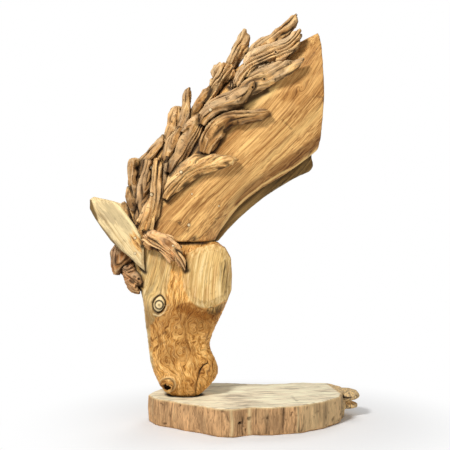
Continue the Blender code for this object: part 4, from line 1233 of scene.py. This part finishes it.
def slab_relief(shape):
    """The slab's relief and marks: flutes, ribs and checks on the side, and ripples and a scar on top. The
    notches, pits, checks, hole and the branch's hollow are darkened with painted shade, and the side's right
    part is lightened with a painted highlight.
    """
    size = sizes()
    front = rise(-0.05, -0.25, shape.normals[:, 1]) * rise(-0.02, -0.06, shape.points[:, 1])
    body = rise(BRANCH_COLUMN + 1.5, BRANCH_COLUMN - 1, shape.column)
    top = rise(0.55, 0.85, shape.normals[:, 2]) * body
    side = rise(0.6, 0.3, np.abs(shape.normals[:, 2]))
    flutes = grainy(shape, 0.03, 0.4, 81) + 0.6 * grainy(shape, 0.013, 0.12, 82)
    notches = crease(grainy(shape, 0.05, 0.4, 83), 0.07) * rise(-0.1, 0.2, grainy(shape, 0.08, 0.1, 84))
    pits = rise(0.35, 0.5, even(shape, 0.014, 88)) * rise(0, 0.3, even(shape, 0.05, 89))
    sway = shape.column + 1.6 * even(shape, 0.05, 90)
    ribs = most(*(crease(sway - column, width * 1.5) for column, width in SLAB_RIBS)) * front
    checks = most(*(crease(sway - column, width * 1.4) for column, width in SLAB_CHECKS)) * front
    checks *= rise(-0.35, 0, grainy(shape, 0.05, 0.05, 91))
    hole = rise(1.3, 0.5, shape.near(*SLAB_HOLE, 2.2, 1.4, -30)) * front
    ripples = grainy(shape, 0.05, 1, 85) + 0.7 * grainy(shape, 0.02, 1, 86)
    scar = shape.stroke(TOP_SCAR, 1.6, 0.1, 0.8 * even(shape, 0.012, 94)) * top
    scar *= rise(0, -0.05, shape.points[:, 1])
    stub = shape.patch(STUB_HOLLOW, -0.8, 0.8) * side
    shape.height = side * (flutes - notches - pits + ribs - 1.2 * checks - 1.6 * hole) * size.bark_flute
    shape.height += top * (ripples - 1.2 * scar) * size.saw_ripple
    # painted shade in the notches, pits, checks, hole and the branch's hollow
    shape.hollow = np.clip(side * most(0.7 * notches, 0.6 * pits, 0.85 * checks, hole, stub), 0, 1)
    shape.darken(scar * 0.3)
    shape.masks["sawn"] = top
    rim = crease(shape.normals[:, 2] - 0.5, 0.4) * body
    # a painted highlight on the right part of the side
    sunny = side * rise(296, 306, shape.column) * rise(345, 338, shape.column) * 0.5
    faint = side * rise(0.3, 0.7, grainy(shape, 0.04, 0.3, 92)) * 0.5
    shape.masks["pale"] = np.clip(most(ribs, rim, faint, sunny), 0, 1)
    shape.masks["silver"] = rise(BRANCH_COLUMN - 1, BRANCH_COLUMN + 2, shape.column) * 0.85
    left, right = SLAB_DARK
    darker = rise(left - 2, left + 3, shape.column) * rise(right + 2, right - 3, shape.column) * front
    darker *= rise(-0.5, 0.4, grainy(shape, 0.02, 0.1, 93))
    blotch = rise(0, 0.6, grainy(shape, 0.04, 0.12, 87))
    shape.masks["stain"] = side * most(blotch, darker) * 0.6


# The size of the faces of the slab
SLAB_VOXEL = 0.0042


class HORSEHEAD_OT_slab(Operator):
    """Carves the slice of trunk that the head stands on"""

    bl_idname = "horsehead.slab"
    bl_label = "Slab"

    def execute(self, context):
        material = sawn_trunk_slice("sawn_trunk_slice")
        carved("slab", "trunk_slice", material, SLAB_VOXEL, slab_relief, straight_grain(2, 0), 2)
        return {"FINISHED"}


# The plugs that show from the front: column, row and share of the largest one's width
PLUG_PLACES = [
    (219, 206, 0.55), (192, 194, 0.5), (189, 225, 0.9), (135.1, 238.1, 0.75), (135.1, 253.4, 0.75),
    (173, 245.8, 0.7), (210.4, 109.9, 0.85), (181, 172, 0.9), (151.9, 194.5, 1), (151, 167.5, 0.9),
]
PLUG_RINGS = [(1, -0.003), (1, 0.0002), (0.86, 0.0009), (0.45, 0.0012)]
PLUG_SIDES = 20


def plug_mesh(name, width):
    """A short peg with a rounded rim and a low dome, standing along Z."""
    bm = bmesh.new()
    turns = [2 * math.pi * k / PLUG_SIDES for k in range(PLUG_SIDES)]
    rings = []
    for share, height in PLUG_RINGS:
        half = share * width / 2
        rings.append([bm.verts.new((math.cos(a) * half, math.sin(a) * half, height)) for a in turns])
    for low, high in zip(rings, rings[1:]):
        for k in range(PLUG_SIDES):
            n = (k + 1) % PLUG_SIDES
            bm.faces.new((low[k], low[n], high[n], high[k]))
    bm.faces.new(rings[0][::-1])
    bm.faces.new(rings[-1])
    mesh = bpy.data.meshes.new(name)
    bm.to_mesh(mesh)
    bm.free()
    mesh.shade_smooth()
    return mesh


class HORSEHEAD_OT_plugs(Operator):
    """Sets the plugs over the screws"""

    bl_idname = "horsehead.plugs"
    bl_label = "Plugs"

    def execute(self, context):
        material = plug_end_grain("plug_end_grain")
        pieces = [o for o in bpy.data.objects if "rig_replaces" in o and o.type == "MESH"]
        context.view_layer.update()
        graph = context.evaluated_depsgraph_get()
        trees = [BVHTree.FromObject(piece, graph) for piece in pieces]
        for k, (column, row, share) in enumerate(PLUG_PLACES):
            ray = Vector((column - VIEW_COLUMN, VIEW_DISTANCE, VIEW_ROW - row)).normalized()
            hits = [tree.ray_cast(VIEWPOINT, ray) for tree in trees]
            hits = [hit for hit in hits if hit[0] is not None]
            if not hits:
                raise RuntimeError(f"no wood behind the plug at {column}, {row}")
            at, normal, _, _ = min(hits, key=lambda hit: hit[3])
            mesh = plug_mesh(f"plug_{k + 1}", share * sizes().plug_width)
            mesh.transform(normal.to_track_quat("Z", "Y").to_matrix().to_4x4())
            mesh.materials.append(material)
            plug = placed(f"plug_{k + 1}", mesh)
            plug.location = at
            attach(plug, "root")
        return {"FINISHED"}


# Half the width of the floor, and the distances from its middle where its light from below starts and is full
FLOOR_SPREAD = 6.0
FLOOR_GLOW = (0.3, 0.95)
# The place that the lights point at
LIGHT_AIM = Vector((-0.05, 0.0, 0.7))
# Soft lights: name, place, width and power
LIGHTS = [
    ("key", (-1.75, -2.7, 3.3), 0.9, 152), ("fill", (3, -2.6, 1), 2.6, 18),
    ("back", (0.8, 2.4, 2.8), 2, 30),
]
SKY_STRENGTH = 0.25


class HORSEHEAD_OT_stage(Operator):
    """Sets the pale floor, the soft light and the camera at the photograph's angle"""

    bl_idname = "horsehead.stage"
    bl_label = "Stage"

    def execute(self, context):
        scene = context.scene
        floor_mesh = bpy.data.meshes.new("floor")
        bm = bmesh.new()
        bmesh.ops.create_grid(bm, x_segments=1, y_segments=1, size=FLOOR_SPREAD)
        bm.to_mesh(floor_mesh)
        bm.free()
        floor_mesh.materials.append(white_paper("white_paper"))
        floor = placed("floor", floor_mesh)

        world = bpy.data.worlds.new("studio")
        world.use_nodes = True
        tree = world.node_tree
        sky = tree.nodes["Background"]
        sky.inputs["Color"].default_value = opaque(linear("#ffffff"))
        sky.inputs["Strength"].default_value = SKY_STRENGTH
        sweep = add(tree, "Background", {"Color": opaque(linear("#ffffff")), "Strength": 1.0})
        looked_at = add(tree, "LightPath").outputs["Is Camera Ray"]
        both = add(tree, "MixShader", {0: looked_at, 1: sky.outputs[0], 2: sweep.outputs[0]})
        tree.links.new(both.outputs[0], tree.nodes["World Output"].inputs["Surface"])
        scene.world = world
        for name, place, width, power in LIGHTS:
            lamp = bpy.data.lights.new(name, "AREA")
            lamp.shape = "DISK"
            lamp.size = width
            lamp.energy = power
            light = placed(name, lamp)
            light.location = place
            light.rotation_euler = (LIGHT_AIM - Vector(place)).to_track_quat("-Z", "Y").to_euler()

        lens = bpy.data.cameras.new("camera")
        lens.sensor_width = 36.0
        lens.lens = lens.sensor_width / 2 / (VIEW_COLUMN / VIEW_DISTANCE)
        camera = placed("camera", lens)
        camera.location = VIEWPOINT
        camera.rotation_euler = (math.radians(90), 0, 0)
        scene.camera = camera
        scene.view_settings.view_transform = "Standard"
        return {"FINISHED"}


STEPS = (
    HORSEHEAD_OT_stage, HORSEHEAD_OT_slab, HORSEHEAD_OT_head, HORSEHEAD_OT_neck, HORSEHEAD_OT_ears,
    HORSEHEAD_OT_forelock, HORSEHEAD_OT_near_mane, HORSEHEAD_OT_far_mane, HORSEHEAD_OT_plugs,
)


class HORSEHEAD_PT_panel(Panel):
    """The sizes, the colours and the steps"""

    bl_idname = "HORSEHEAD_PT_panel"
    bl_label = "Horse Head"
    bl_space_type = "VIEW_3D"
    bl_region_type = "UI"
    bl_category = "Horse Head"

    def draw(self, context):
        for group in (context.scene.horse_sizes, context.scene.horse_colours):
            box = self.layout.box()
            for name in group.bl_rna.properties.keys():
                if name not in ("rna_type", "name"):
                    box.prop(group, name)
        for step in STEPS:
            self.layout.operator(step.bl_idname)


CLASSES = (HorseSizes, HorseColours, *STEPS, HORSEHEAD_PT_panel)


def register():
    for made in CLASSES:
        bpy.utils.register_class(made)
    bpy.types.Scene.horse_sizes = PointerProperty(type=HorseSizes)
    bpy.types.Scene.horse_colours = PointerProperty(type=HorseColours)


def unregister():
    del bpy.types.Scene.horse_colours
    del bpy.types.Scene.horse_sizes
    for made in reversed(CLASSES):
        bpy.utils.unregister_class(made)


def main():
    register()
    for step in STEPS:
        family, name = step.bl_idname.split(".")
        getattr(getattr(bpy.ops, family), name)()


if __name__ == "__main__":
    main()
